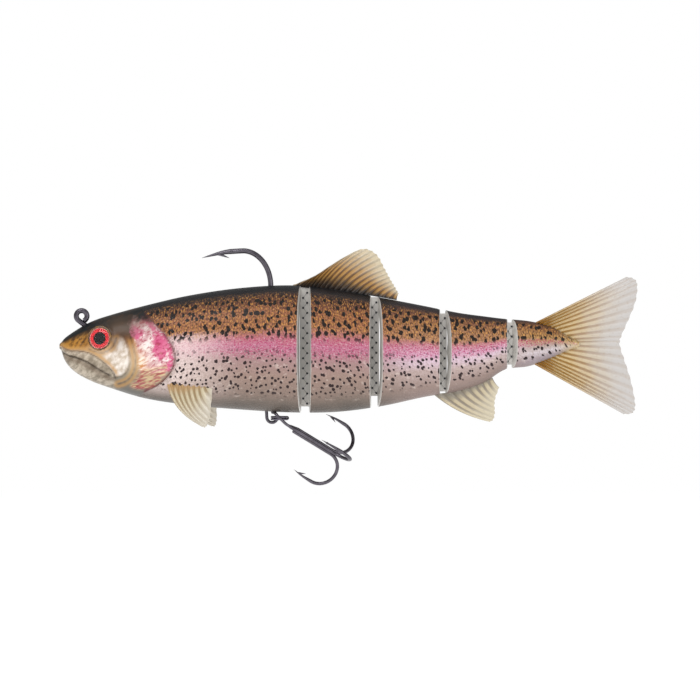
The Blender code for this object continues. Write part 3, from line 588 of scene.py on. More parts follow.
def head_relief(x, z, facing):
    """How far the head's surface stands out at each point of the side view, and its masks."""

    def spot(centre, radius, wide=1.0, tall=1.0):
        return bell(np.hypot((x - centre[0]) / wide, (z - centre[1]) / tall), radius)

    def within(low, high, along):
        return smooth(0, low, along) * smooth(1, high, along)

    gap, side, along = from_curve(x, z, GILL_EDGE)
    gap_c, side_c, along_c = from_curve(x, z, CHEEK_EDGE)
    gap_p, side_p, along_p = from_curve(x, z, PLATE_EDGE)
    gap_l, side_l, along_l = from_curve(x, z, LIP_EDGE)
    gap_m, side_m, along_m = from_curve(x, z, MOUTH)
    gap_f, _, _ = from_curve(x, z, EYE_FOLD)
    ahead, above_lip = side < 0, np.where(side_l > 0, 1.0, 0.0)
    nostril = spot(NOSTRIL, 0.5, 1.0, 1 / 1.4)

    stand = np.where(ahead, 0.55 * np.exp(-gap / 4.5), -0.5 * np.exp(-gap / 1.6))
    stand *= within(0.1, 0.9, along)
    stand -= 0.30 * bell(gap_c, 0.33) * smooth(0, 0.1, along_c)
    stand -= 0.38 * bell(gap_p, 0.36) * smooth(0, 0.12, along_p)
    stand += 0.22 * spot((11.5, -13.5), 3.4) + 0.45 * spot((22.5, -10.5), 5.0, 1.0, 1.3)
    stand -= 0.45 * bell(gap_l, 0.34)
    stand -= 0.75 * bell(gap_m, 0.36) * smooth(1.0, 0.9, along_m)
    stand += 0.35 * bell(gap_l, 1.5) * bell(gap_m, 1.6)
    stand -= 0.32 * bell(gap_f, 0.35) + 0.6 * nostril
    # Each fold sinks the surface, and a thin line of painted shade runs along it.
    fold, crease_shade = np.zeros_like(x), np.zeros_like(x)
    for curve in FOLDS:
        gap_b, _, along_b = from_curve(x, z, curve)
        stand -= 0.34 * bell(gap_b, 0.42) * within(0.15, 0.85, along_b)
        fold = np.maximum(fold, bell(gap_b, 0.9) * within(0.2, 0.9, along_b))
        crease_shade = np.maximum(crease_shade, 0.5 * bell(gap_b, 0.25) * within(0.15, 0.8, along_b))

    # What is head, and its gill cover, cheek and jaw.
    is_head = smooth(0.5, -0.25, np.where(ahead, -gap, gap))
    beyond = (z > 0.4) | (z < -23.4)
    is_head = np.where(beyond, np.minimum(is_head, smooth(26, 20, x)), is_head)
    rim = np.where(ahead, bell(gap, 0.65), bell(gap, 0.28)) * (0.35 + 0.65 * smooth(0.05, 0.3, along))
    gill = smooth(-0.3, 0.7, np.where(side_p > 0, gap_p, -gap_p))
    gill = gill * smooth(13.0, 18.5, x + 0.2 * (z + 8))
    gill = gill * smooth(-19.0, -16.5, z) * smooth(2.0, -3.5, z)
    inside = np.where(side_c < 0, gap_c, -gap_c)
    cheek = smooth(-0.2, 0.8, inside) * smooth(-6.0, -8.5, z)
    cheek = cheek * smooth(10.5, 12.5, x + 0.35 * (z + 11))
    lower_cheek = smooth(0, 1, inside) * smooth(-10.2, -11.6, z) * smooth(6.0, 9.0, x)
    cheek = np.maximum(cheek, lower_cheek * above_lip)
    jaw = np.where(side_l < 0, smooth(0, 0.5, gap_l), 0.0) * smooth(11.5, 10.0, x)
    jaw = jaw * smooth(-21.5, -18.5, z + 0.35 * np.minimum(x, 8))

    # Painted lines and patches, among them painted shade: dark lines in the grooves, creases, mouth,
    # lip, cheek and plate edges, eye fold and nostril, and dark patches under the mouth, inside the
    # cheek edge and behind the eye.
    soft = np.clip(0.6 + 0.4 * np.sin(3.1 * x + 2.3 * z), 0, 1)
    groove_shade = np.maximum(crease_shade, 0.85 * bell(gap_m, 0.34) * smooth(1.0, 0.92, along_m))
    groove_shade = np.maximum(groove_shade, 0.75 * bell(gap_l, 0.26) * smooth(0.0, 0.12, along_l))
    groove_shade = np.maximum(groove_shade, 0.40 * bell(gap_c, 0.25) * soft)
    groove_shade = np.maximum(groove_shade, 0.45 * bell(gap_p, 0.28) * soft)
    groove_shade = np.maximum(groove_shade, 0.55 * bell(gap_f, 0.28))
    groove_shade = np.maximum(groove_shade, 0.9 * nostril)
    gold = bell(gap_l - 0.8, 0.6) * above_lip * smooth(1.0, 0.85, along_l)
    gold = np.maximum(gold, 0.8 * bell(gap_p - 0.7, 0.6) * smooth(0, 0.1, along_p))
    gold = np.maximum(gold, 0.7 * bell(gap_f - 0.6, 0.5))
    shade = 0.8 * bell(gap_m - 0.9, 0.8) * np.where(side_m < 0, 1, 0.3)
    shade = np.maximum(shade, 0.7 * spot((10.5, -7.5), 3.2, 1.2) * smooth(9.0, 10.5, x))
    shade = np.maximum(shade, 0.5 * bell(gap_c + 0.2, 0.9) * np.where(side_c < 0, 1, 0))
    shade = np.maximum(shade, 0.9 * spot((12.5, -3.2), 3.2, 1.5))
    magenta = np.maximum(spot((16.8, -5.6), 2.0, 1.6, 1.2), spot((25.3, -9.5), 2.8, 1.1, 1.7))
    magenta = np.maximum(magenta, 0.7 * bell(gap - 1.4, 1.2) * np.where(ahead, 1, 0))
    gilt = spot((18.8, -15.2), 1.9, 1.2, 2.2)
    brown = smooth(-7.0, -1.0, z)
    lines = [groove_shade * is_head, gold * is_head, shade * is_head]
    masks = [gill, cheek, rim * is_head, is_head, jaw, fold, *lines, magenta, gilt, brown]
    return stand * facing, np.stack(masks, -1)


def eye_frame(side):
    """Places an eye: local Z looks out of the head."""
    x, z = FISH_EYE
    half_width = float(profile(x)[2])
    turn, lift = math.radians(17.0), math.radians(6.0)
    level = math.cos(lift)
    out = Vector((-math.sin(turn) * level, side * math.cos(turn) * level, math.sin(lift)))
    spin = out.to_track_quat("Z", "Y").to_matrix().to_4x4()
    return Matrix.Translation((x, side * (half_width - 0.55), z)) @ spin


def seat_eyes(points):
    """Flattens the head under each eye and lifts a soft rim round it."""
    for side in (-1, 1):
        place = eye_frame(side)
        back = np.array(place.inverted())
        local = points @ back[:3, :3].T + back[:3, 3]
        away = np.hypot(local[..., 0], local[..., 1])
        near = (np.abs(local[..., 2]) < 5) & (away < 6)
        flat = smooth(3.75, 3.35, away) * near
        local[..., 2] = local[..., 2] * (1 - flat) + (-0.25) * flat
        local[..., 2] += 0.34 * bell(away - 4.1, 0.55) * near
        forward = np.array(place)
        points = np.where(near[..., None], local @ forward[:3, :3].T + forward[:3, 3], points)
    return points


# ---------------------------------------------------------------- the body


def trunk_surface(x, turn):
    top, bottom, half = profile(x)
    a = 2 * np.pi * turn
    side, up = np.sin(a), np.cos(a)
    power = 2 / ROUNDNESS
    y = -half * np.sign(side) * np.abs(side) ** power
    z = (top + bottom) / 2 + (top - bottom) / 2 * np.sign(up) * np.abs(up) ** power
    return y, z, top, bottom


def nose_cap(ring, skin_attr, mask_attr, start):
    """A blunt cap ahead of the snout's first ring: its vertices, attributes and faces."""
    sides = len(ring)
    tip = ring.mean(0) + np.array([-0.55, 0, 0])
    inner = ring * 0.62 + tip * 0.38 - np.array([0.28, 0, 0])
    skin = np.vstack([skin_attr[:sides], (-6.9, 0.5, 0)])
    masks = np.vstack([mask_attr[:sides], mask_attr[:1]])
    masks[:, 6:] = 0
    faces = []
    for k in range(sides):
        n = (k + 1) % sides
        faces.append((k, n, start + n, start + k))
    for k in range(sides):
        faces.append((start + k, start + (k + 1) % sides, start + sides))
    return np.vstack([inner, tip]), skin, masks, faces


def cut_face(ring, centre_z, slant, sign, row, start):
    """A rounded rim and a clear face: vertices, faces and slots. Sign is 1 at a front end."""
    sides = len(ring)
    plane = ring[:, 0] - sign * CUT_EDGE - slant * np.abs(ring[:, 1])
    from_middle = np.maximum(np.hypot(ring[:, 1], ring[:, 2] - centre_z), 0.5)
    verts, faces, slots = [], [], []
    previous = np.arange(sides) + row
    k = np.arange(sides)
    n = (k + 1) % sides
    for level, (inset, ahead) in enumerate(CUT_LEVELS):
        shrink = np.clip(1 - inset / from_middle, 0.04, 1)
        ry, rz = ring[:, 1] * shrink, centre_z + (ring[:, 2] - centre_z) * shrink
        rx = plane + slant * np.abs(ry) + sign * (CUT_EDGE - ahead)
        verts.append(np.stack([rx, ry, rz], -1))
        here = start + level * sides
        quads = np.stack([previous, previous[n], here + n, here + k], -1)
        faces += list(quads if sign == 1 else quads[:, ::-1])
        slots += [0 if level == 0 else 1] * sides
        previous = here + k
    for i in range(sides // 2):
        rung = [previous[j % sides] for j in (i, i + 1, sides - i - 1, sides - i)]
        rung = list(dict.fromkeys(rung))
        faces.append(rung if sign == 1 else rung[::-1])
        slots.append(1)
    return np.vstack(verts), faces, slots


def skin_piece(name, front, rear, steps, sides, skin, cut, crowd=1.0, is_head=False):
    """A length of painted skin with rounded edges at its cuts and clear cut faces."""
    (front_x, front_slant), (rear_x, rear_slant) = front, rear
    u = np.linspace(0, 1, steps + 1) ** crowd
    U, T = np.meshgrid(u, np.arange(sides) / sides, indexing="ij")
    X = front_x + (rear_x - front_x) * U
    reach = np.abs(trunk_surface(X, T)[0])
    X = X + (1 - U) * front_slant * reach - U * rear_slant * reach
    Y, Z, top, bottom = trunk_surface(X, T)
    middle, tall = (top + bottom) / 2, (top - bottom) / 2
    ny, nz = Y / np.maximum(profile(X)[2], 0.1) ** 2, (Z - middle) / tall**2
    size = np.maximum(np.hypot(ny, nz), 1e-9)
    ny, nz = ny / size, nz / size
    height = (Z - bottom) / (top - bottom)
    masks = np.zeros((*X.shape, HEAD_MASKS))
    points = np.stack([X, Y, Z], -1)
    if is_head:
        stand, masks = head_relief(X, Z, smooth(0.12, 0.6, np.abs(ny)))
        points[..., 1] += stand * ny
        points[..., 2] += stand * nz * 0.6
        points = seat_eyes(points)
    else:
        points[0, :, 0] += CUT_EDGE
    points[-1, :, 0] -= CUT_EDGE
    step = np.linalg.norm(np.diff(points, axis=1, append=points[:, :1]), axis=-1)
    run = np.concatenate([np.zeros((len(u), 1)), np.cumsum(step, 1)[:, :-1]], 1)
    down = np.minimum(run, step.sum(1, keepdims=True) - run)
    down = down + np.where(T < 0.5, 0.0, OTHER_SIDE)

    verts = points.reshape(-1, 3)
    skin_attr = np.stack([X, height, down], -1).reshape(-1, 3)
    mask_attr = masks.reshape(-1, HEAD_MASKS)
    faces = list(grid_faces(steps + 1, sides, closed=True, flip=True))
    slots = [0] * len(faces)
    for end, slant, sign in ((0, front_slant, 1), (-1, -rear_slant, -1)):
        if is_head and end == 0:
            more, skin_more, masks_more, added = nose_cap(points[0], skin_attr, mask_attr, len(verts))
            slots += [0] * len(added)
        else:
            row = 0 if end == 0 else steps * sides
            centre_z = (top[end] + bottom[end]) / 2
            more, added, kinds = cut_face(points[end], centre_z, slant, sign, row, len(verts))
            slots += kinds
            skin_more = np.tile(skin_attr[row : row + sides], (len(CUT_LEVELS), 1))
            masks_more = np.tile(mask_attr[row : row + sides], (len(CUT_LEVELS), 1))
        faces += added
        verts = np.vstack([verts, more])
        skin_attr = np.vstack([skin_attr, skin_more])
        mask_attr = np.vstack([mask_attr, masks_more])
    obj = make_object(name, verts, faces, [skin, cut], slots, 50)
    give(obj, "skin", skin_attr)
    for k, word in enumerate(("head_a", "head_b", "head_c", "head_d")):
        give(obj, word, mask_attr[:, 3 * k : 3 * k + 3])
    return obj


def build_sections():
    skin, cut = trout_skin(), cut_plastic()
    plan = [
        ("head_skin", "head_section", 190, 176, 1.25),
        ("section_2_skin", "body_section_2", 26, 112, 1.0),
        ("section_3_skin", "body_section_3", 26, 112, 1.0),
        ("section_4_skin", "body_section_4", 26, 96, 1.0),
        ("tail_skin", "tail_section", 26, 80, 1.0),
    ]
    for i, (name, node, steps, sides, crowd) in enumerate(plan):
        front = CUTS[i - 1]["rear"] if i else (-6.4, 0.0)
        rear = CUTS[i]["front"] if i < len(CUTS) else (156.0, 0.0)
        piece = skin_piece(name, front, rear, steps, sides, skin, cut, crowd, i == 0)
        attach(piece, BODIES[i])
        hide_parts(node)


# ---------------------------------------------------------------- webs


def ball(centre, radius, rings=4, sides=8):
    lat = np.linspace(0, np.pi, rings + 1)[1:-1, None]
    lon = np.arange(sides)[None] * 2 * np.pi / sides
    belt = [np.sin(lat) * np.cos(lon), np.sin(lat) * np.sin(lon), np.cos(lat) + 0 * lon]
    points = np.vstack([(0, 0, 1), np.stack(belt, -1).reshape(-1, 3), (0, 0, -1)])
    last, row = len(points) - 1, 1 + (rings - 2) * sides
    faces = [(0, 1 + k, 1 + (k + 1) % sides) for k in range(sides)]
    for this in range(1, row, sides):
        after = this + sides
        for k in range(sides):
            n = (k + 1) % sides
            faces.append((this + k, after + k, after + n, this + n))
    faces += [(last, row + (k + 1) % sides, row + k) for k in range(sides)]
    return points * radius + np.array(centre), faces


def tube(points, radii, sides=12, caps=True):
    """A round tube along the points, with a radius at each."""
    points = np.asarray(points, float)
    radii = np.broadcast_to(np.asarray(radii, float), (len(points),))
    along = np.gradient(points, axis=0)
    along /= np.linalg.norm(along, axis=1, keepdims=True)
    across = np.zeros_like(points)
    guess = np.array([0.0, 1.0, 0.0]) if abs(along[0][1]) < 0.9 else np.array([1.0, 0.0, 0.0])
    for i, t in enumerate(along):
        guess = guess - t * (guess @ t)
        guess /= np.linalg.norm(guess)
        across[i] = guess
    other = np.cross(along, across)
    a = np.arange(sides) * 2 * np.pi / sides
    ring = across[:, None] * np.cos(a)[None, :, None] + other[:, None] * np.sin(a)[None, :, None]
    verts = (points[:, None] + ring * radii[:, None, None]).reshape(-1, 3)
    faces = [tuple(f) for f in grid_faces(len(points), sides, closed=True)]
    if caps:
        nose = points[0] - along[0] * radii[0] * 0.5
        tail = points[-1] + along[-1] * radii[-1] * 0.5
        verts = np.vstack([verts, nose, tail])
        first, last = len(verts) - 2, len(verts) - 1
        base = (len(points) - 1) * sides
        faces += [(first, (k + 1) % sides, k) for k in range(sides)]
        faces += [(last, base + k, base + (k + 1) % sides) for k in range(sides)]
    return verts, faces


def join(pieces):
    """Joins (verts, faces, slot) pieces into one list of each."""
    verts, faces, slots, start = [], [], [], 0
    for v, f, slot in pieces:
        verts.append(np.asarray(v, float))
        faces += [tuple(int(i) + start for i in face) for face in f]
        slots += [slot] * len(f)
        start += len(v)
    return np.vstack(verts), faces, slots


def web_pieces(cut_at):
    """A clear web with a diamond net of dark thread on both of its faces."""
    hinge, (top, bottom) = cut_at["hinge"], cut_at["web"]
    left, right = cut_at["front"][0] - 0.5, cut_at["rear"][0] + 0.5
    xs, zs = np.linspace(left, right, 13), np.linspace(bottom, top, 41)
    pieces = []
    grid = []
    for y in (-0.42, 0.42):
        gx, gz = np.meshgrid(xs, zs, indexing="ij")
        grid.append(np.stack([gx, np.full_like(gx, y), gz], -1).reshape(-1, 3))
    pieces.append((np.vstack(grid), sheet_faces(len(xs), len(zs), False), 0))
    pitch, column = 3.15, 1.26
    count = int((right - left) / column) + 2
    for side in (-0.46, 0.46):
        for c in range(-1, count):
            x = hinge + (c - count // 2 + 0.5) * column
            shift = pitch / 2 if c % 2 else 0.0
            z = bottom + 0.9 + shift
            while z < top - 0.5:
                if left + 0.1 < x < right - 0.1:
                    pieces.append((*ball((x, side, z), 0.36), 1))
                for dz in (-pitch / 2, pitch / 2):
                    a, b = np.array([x, side, z]), np.array([x + column, side, z + dz])
                    if left < a[0] and b[0] < right and bottom < b[2] < top:
                        pieces.append((*tube([a, (a + b) / 2, b], 0.07, 6), 2))
                z += pitch
    return join(pieces)


def build_webs():
    film = web_film()
    thread = net_thread("net_knot", "1c1e22", "3c3e42")
    strand = net_thread("net_strand", "8a8884", "a8a6a2")
    nodes = [["net_panel_1"], ["net_panel_2"], ["net_panel_3"], ["net_panel_4", "net_panel_5"]]
    for i, cut_at in enumerate(CUTS):
        verts, faces, slots = web_pieces(cut_at)
        web = make_object(f"web_{i + 1}", verts, faces, [film, thread, strand], slots)
        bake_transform(web)
        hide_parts(*nodes[i])


# ---------------------------------------------------------------- fins


RIPPLE = 0.25  # how far the rays' ends stand out of a fin's edge


def fin_mesh(
    name, roots, tips, rays, material, root_half, tip_half, bow=0.0, place=None, across=(0.0, 1.0)
):
    """A ribbed fin: rays run from the root curve to the tip curve. bow curves the rays."""
    nu = max(9, int(rays * 10 * (across[1] - across[0])) + 1)
    nv = 30
    u = np.linspace(across[0], across[1], nu)
    v = np.linspace(0, 1, nv)
    dense_r, dense_t = catmull(roots, 400), catmull(tips, 400)
    at = np.linspace(0, 1, 400)
    R = np.stack([np.interp(u, at, dense_r[:, k]) for k in (0, 1)], -1)
    T = np.stack([np.interp(u, at, dense_t[:, k]) for k in (0, 1)], -1)
    crest = 0.5 + 0.5 * np.cos(2 * np.pi * rays * u)
    d = T - R
    length = np.linalg.norm(d, axis=1, keepdims=True)
    T = T + d / np.maximum(length, 1e-6) * (RIPPLE * (crest[:, None] - 0.5))
    d = T - R
    normal = np.stack([-d[:, 1], d[:, 0]], -1)
    P = R[:, None] + d[:, None] * v[None, :, None]
    P = P + normal[:, None] * (bow * v * (1 - v))[None, :, None]
    ridge = (0.38 + 0.62 * crest**1.5)[:, None]
    half = (root_half * (1 - v) ** 1.3 + tip_half)[None] * ridge
    thin = np.minimum(smooth(-0.005, 0.05, u), smooth(-0.005, 0.05, 1 - u))[:, None]
    thin = thin * smooth(1.0, 0.9, v)[None]
    half = np.maximum(half * (0.25 + 0.75 * thin), 0.07)
    front = np.stack([P[..., 0], -half, P[..., 1]], -1).reshape(-1, 3)
    back = np.stack([P[..., 0], half, P[..., 1]], -1).reshape(-1, 3)
    verts = np.vstack([front, back])
    if place is not None:
        m = np.array(place)
        verts = verts @ m[:3, :3].T + m[:3, 3]
    obj = make_object(name, verts, sheet_faces(nu, nv, True), [material], None, 60)
    one = np.stack([np.repeat(u, nv), np.tile(v, nu), np.repeat(crest, nv)], -1)
    give(obj, "fin", np.vstack([one, one]))
    return obj


def build_fins():
    dorsal = fin_plastic("dorsal_plastic", "17110d", "a87c38", "5e3d18", "c9bfa6", 0.0, 1.15, 0.42, 0.8)
    anal = fin_plastic("anal_plastic", "857d70", "c0b294", "83786a", "c6bca4", 0.05)
    caudal = fin_plastic("caudal_plastic", "96681f", "c2ab80", "8c6420", "b9b5b2", 0.0, 0.95, 0.22)
    paired = fin_plastic("pectoral_plastic", "b08c5c", "c8bb9c", "927a54", "c6beae", 0.05)

    roots = [
        (66.0, 9.0), (68.6, 8.95), (71.4, 8.7), (74.5, 8.4), (78.0, 8.0), (82.5, 7.5),
        (87.5, 6.8), (93.0, 5.95), (98.6, 4.95),
    ]
    tips = [
        (66.2, 9.7), (75.0, 13.5), (82.8, 18.7), (88.2, 21.0), (92.3, 19.2), (94.6, 15.2),
        (96.3, 12.0), (97.9, 9.3), (99.2, 7.0),
    ]
    split = 0.27
    root = fin_mesh("dorsal_fin_root", roots, tips, 20, dorsal, 0.95, 0.22, 0.25, across=(0.0, split))
    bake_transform(root)
    main = fin_mesh("dorsal_fin_blade", roots, tips, 20, dorsal, 0.95, 0.22, 0.25, across=(split, 1.0))
    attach(main, "section_2")
    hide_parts("dorsal_fin")

    roots = [
        (110.0, -24.4), (114.2, -24.0), (118.5, -22.9), (122.5, -21.6), (125.8, -20.3),
        (128.6, -19.3),
    ]
    tips = [
        (127.8, -33.1), (128.9, -32.2), (129.3, -30.0), (129.2, -27.6), (129.6, -25.2),
        (130.7, -22.3),
    ]
    piece = fin_mesh("anal_fin_blade", roots, tips, 8, anal, 0.8, 0.2, -0.26)
    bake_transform(piece)
    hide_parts("anal_fin")

    roots = [
        (141.6, -2.2), (142.6, -4.6), (143.0, -7.4), (143.0, -9.6), (142.6, -12.4),
        (141.4, -15.0),
    ]
    tips = [
        (170.6, 12.3), (173.2, 11.4), (173.9, 9.0), (173.3, 4.4), (171.2, -1.0), (169.0, -6.0),
        (168.4, -8.8), (169.8, -13.6), (171.6, -19.2), (172.9, -25.0), (173.2, -28.6),
        (172.2, -30.4), (169.6, -30.7),
    ]
    tail = fin_mesh("caudal_fin_blade", roots, tips, 21, caudal, 1.05, 0.22, 0.0)
    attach(tail, "tail")
    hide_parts("caudal_fin")

    roots = [(0.4, 0.9), (3.5, 1.0), (7.0, 1.0), (10.5, 0.8), (13.2, 0.5)]
    tips = [(10.6, -14.2), (12.4, -15.1), (13.4, -13.4), (14.1, -9.0), (14.6, -0.6)]
    for side, word, splay, sweep in ((-1, "left", 33, 0), (1, "right", 10, 9)):
        place = Matrix.Translation((26.6, side * 8.5, -21.9))
        place = place @ Matrix.Rotation(side * math.radians(splay), 4, "X")
        place = place @ Matrix.Rotation(math.radians(-sweep), 4, "Y")
        fin = fin_mesh(f"pectoral_blade_{word}", roots, tips, 8, paired, 0.7, 0.2, -0.45, place)
        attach(fin, "head")
        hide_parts(f"pectoral_fin_{word}")


# ---------------------------------------------------------------- steel


HOOK_WIRE, EYE_RADIUS = 1.65, 1.68
HOOK_BEND, HOOK_BEND_RADII = (50.5, 9.4), (8.7, 11.0)
EYELET_CENTRE, EYELET_RADIUS, EYELET_WIRE = (59.6, -31.7), 1.63, 1.0
RING_CENTRE, RING_RADIUS, RING_WIRE, RING_PITCH = (62.05, -31.95), 2.58, 0.64, 0.68
TREBLE_EYE = (61.8, -2.5, -32.5)
TREBLE_DOWN, TREBLE_ASIDE, EYE_LEAN = np.radians([31.5, 9.0, 45.0])
TREBLE_WIRE, TREBLE_EYE_WIRE = 1.1, 0.9
SHANK_OFFSET = 0.72  # from the treble's axis to each wire's centre
TREBLE_NEEDLE = 6.5  # the length over which a treble's wire runs to its point
UP_HOOK, DOWN_HOOK, NEAR_HOOK = 39, 159, 279


def arc(centre, radii, start, end, steps):
    a = np.radians(np.linspace(start, end, steps + 1))
    return np.stack([centre[0] + radii[0] * np.cos(a), centre[1] + radii[1] * np.sin(a)], -1)


def flat(points):
    points = np.asarray(points, float)
    return np.stack([points[:, 0], np.zeros(len(points)), points[:, 1]], -1)


def needle(points, straight, radius):
    """Radii that run to a point over the last `straight` millimetres."""
    step = np.linalg.norm(np.diff(points, axis=0), axis=1)
    left = np.concatenate([np.cumsum(step[::-1])[::-1], [0.0]])
    return radius * np.clip(left / straight, 0.03, 1) ** 0.75


def even(points, spacing):
    """The same line with points about `spacing` apart."""
    points = np.asarray(points, float)
    run = np.concatenate([[0], np.cumsum(np.linalg.norm(np.diff(points, axis=0), axis=1))])
    at = np.linspace(0, run[-1], max(4, int(run[-1] / spacing)))
    return np.stack([np.interp(at, run, points[:, k]) for k in range(3)], -1)


def barb(root, tip, width):
    """A barb's sliver, broad where it leaves the wire and sharp at its tip."""
    root, tip = np.array(root), np.array(tip)
    line = root + (tip - root) * np.linspace(0, 1, 8)[:, None]
    return tube(line, width * (1 - np.linspace(0, 1, 8)) ** 0.8 + 0.02, 8)


def jig_hook(steel):
    ring = arc((0, 0), (EYE_RADIUS, EYE_RADIUS), -62, 235, 60)
    leg = [(0.9, -2.75), (3.4, -4.1), (8.0, -4.6), (20.0, -3.9), (36.0, -2.5)]
    bend = arc(HOOK_BEND, HOOK_BEND_RADII, -90, 90, 60)
    spear = [(44.5, 19.9), (37.7, 18.2)]
    middle = catmull([ring[-1], *leg, bend[0]], 80)
    straight = catmull([bend[-1], *spear], 30)[1:]
    line = even(flat(np.vstack([ring, middle[1:-1], bend, straight])), 0.3)
    pieces = [(*tube(line, needle(line, 9.0, HOOK_WIRE / 2), 20), 0)]
    pieces.append((*barb((42.8, 0, 19.45), (46.3, 0, 18.15), 0.5), 0))
    verts, faces, slots = join(pieces)
    hook = make_object("jig_hook_wire", verts, faces, [steel], slots)
    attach(hook, "head")
    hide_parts("jig_hook")


def belly_eyelet(steel):
    leg = [(39.0, -14.5), (47.0, -19.0), (54.0, -23.8), (57.3, -27.5)]
    loop = arc(EYELET_CENTRE, (EYELET_RADIUS, EYELET_RADIUS), 190, 455, 60)
    line = even(flat(np.vstack([catmull([*leg, loop[0]], 60)[:-1], loop])), 0.25)
    verts, faces = tube(line, EYELET_WIRE / 2, 16)
    eyelet = make_object("belly_eyelet_wire", verts, faces, [steel])
    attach(eyelet, "head")
    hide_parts("belly_eyelet")


def split_ring(steel):
    angle = np.linspace(30, 690, 220)
    t = np.clip((angle - 330) / 60, 0, 1)
    rise = RING_PITCH * (t * t * (3 - 2 * t) - 0.5)
    a = np.radians(angle)
    x, y = RING_CENTRE[0] + RING_RADIUS * np.cos(a), RING_RADIUS * np.sin(a)
    verts, faces = tube(np.stack([x, y, RING_CENTRE[1] + rise], -1), RING_WIRE / 2, 14)
    ring = make_object("split_ring_wire", verts, faces, [steel])
    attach(ring, "ring")
    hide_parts("split_ring")


def heading(down, aside):
    flat_part = math.cos(aside)
    return np.array([math.cos(down) * flat_part, math.sin(aside), -math.sin(down) * flat_part])


def treble(steel, braze):
    """Two hooks and the eye from one wire, and a third hook brazed along their shank."""
    along, eye_way = heading(TREBLE_DOWN, TREBLE_ASIDE), heading(EYE_LEAN, TREBLE_ASIDE)
    across = np.array([0.0, 1.0, 0.0]) - along * along[1]
    across /= np.linalg.norm(across)
    above = np.cross(along, across)

    def at(s, side, up):
        return np.array(TREBLE_EYE) + along * s + across * side + above * up

    def out_at(s, r, angle):
        a = math.radians(angle)
        return at(s, r * math.sin(a), r * math.cos(a))

    bend = arc((19.5, SHANK_OFFSET + 5.7), (5.1, 5.7), -90, 90, 40)
    shape = np.vstack([bend, catmull([bend[-1], (16.1, 12.1), (12.9, 11.7)], 16)[1:]])

    def hook_line(angle):
        return np.array([out_at(s, r, angle) for s, r in shape])

    def hook_barb(angle):
        return (*barb(out_at(14.8, 11.95, angle), out_at(16.8, 10.85, angle), 0.36), 0)

    middle = at(2.6, 0, 0) - eye_way * 2.6
    a = np.radians(np.arange(50, 311, 6))[:, None]
    loop = middle + eye_way * 2.5 * np.cos(a) + across * 1.55 * np.sin(a)
    neck_up = np.array([out_at(6.8, SHANK_OFFSET, UP_HOOK), at(3.4, 0.56, 0)])
    neck_near = np.array([at(3.4, -0.56, 0), out_at(6.8, SHANK_OFFSET, NEAR_HOOK)])
    centre = catmull(np.vstack([neck_up, loop, neck_near]), 160)
    line = even(np.vstack([hook_line(UP_HOOK)[::-1], centre, hook_line(NEAR_HOOK)]), 0.22)
    half = TREBLE_WIRE / 2
    ends = needle(line[::-1], TREBLE_NEEDLE, half)[::-1], needle(line, TREBLE_NEEDLE, half)
    radii = np.minimum(*ends)
    near_eye = np.linalg.norm(line - middle, axis=1) < 4.2
    radii = np.where(near_eye, np.minimum(radii, TREBLE_EYE_WIRE / 2), radii)
    pieces = [(*tube(line, radii, 16), 0), hook_barb(UP_HOOK), hook_barb(NEAR_HOOK)]
    verts, faces, slots = join(pieces)
    double = make_object("treble_double_wire", verts, faces, [steel], slots)

    shank = np.array([out_at(s, SHANK_OFFSET, DOWN_HOOK) for s in (5.7, 9.0, 13.0, 17.5)])
    line = even(np.vstack([shank, hook_line(DOWN_HOOK)]), 0.22)
    pieces = [(*tube(line, needle(line, TREBLE_NEEDLE, half), 16), 0), hook_barb(DOWN_HOOK)]
    solder = np.array([at(s, 0, 0) for s in np.linspace(5.6, 18.2, 24)])
    fat = 0.62 * np.sin(np.linspace(0.25, np.pi - 0.25, 24)) ** 0.5
    pieces.append((*tube(solder, fat, 12), 1))
    verts, faces, slots = join(pieces)
    single = make_object("treble_single_wire", verts, faces, [steel, braze], slots)
    for piece, node in ((double, "treble_double_hook"), (single, "treble_single_hook")):
        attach(piece, "treble")
        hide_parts(node)


# ---------------------------------------------------------------- eyes


def lathe(rows, sides, place):
    """(radius, height) rows turned about local Z and placed."""
    a = np.arange(sides) * 2 * np.pi / sides
    verts = np.array([(r * math.cos(t), r * math.sin(t), h) for r, h in rows for t in a])
    faces = [tuple(f) for f in grid_faces(len(rows), sides, closed=True)]
    m = np.array(place)
    return verts, verts @ m[:3, :3].T + m[:3, 3], faces


def build_eyes():
    foil, glass, gold = iris_foil(), eye_glass(), socket_gold()
    for side, word in ((-1, "left"), (1, "right")):
        place = eye_frame(side)
        rows = [(0.01, -0.5), (3.28, -0.5), (3.28, 0.02), (3.2, 0.05)]
        rows += [(r, 0.05) for r in np.linspace(3.0, 0.01, 24)]
        local, world, faces = lathe(rows, 64, place)
        iris = make_object(f"iris_{word}", world, faces, [foil])
        radius, angle = np.hypot(local[:, 0], local[:, 1]), np.arctan2(local[:, 1], local[:, 0])
        give(iris, "iris", np.stack([radius, angle, local[:, 2]], -1))
        dome = [(0.01, 0.1), (3.24, 0.1), (3.28, 0.2)]
        quarter = np.linspace(0, math.pi / 2 - 0.004, 18)
        dome += [(3.28 * math.cos(t), 0.32 + 0.88 * math.sin(t)) for t in quarter]
        _, world, faces = lathe(dome, 64, place)
        lens = make_object(f"lens_{word}", world, faces, [glass])
        whole = np.linspace(-math.pi, math.pi, 17)
        ring = [(3.62 + 0.34 * math.cos(t), 0.02 + 0.42 * math.sin(t)) for t in whole]
        _, world, faces = lathe(ring, 72, place)
        rim = make_object(f"eye_rim_{word}", world, faces, [gold])
        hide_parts(f"eye_iris_{word}")
        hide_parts(f"eye_lens_{word}")
        for piece, slot in ((iris, "iris"), (lens, "lens"), (rim, "soft_body")):
            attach(piece, "head")


# ---------------------------------------------------------------- stage


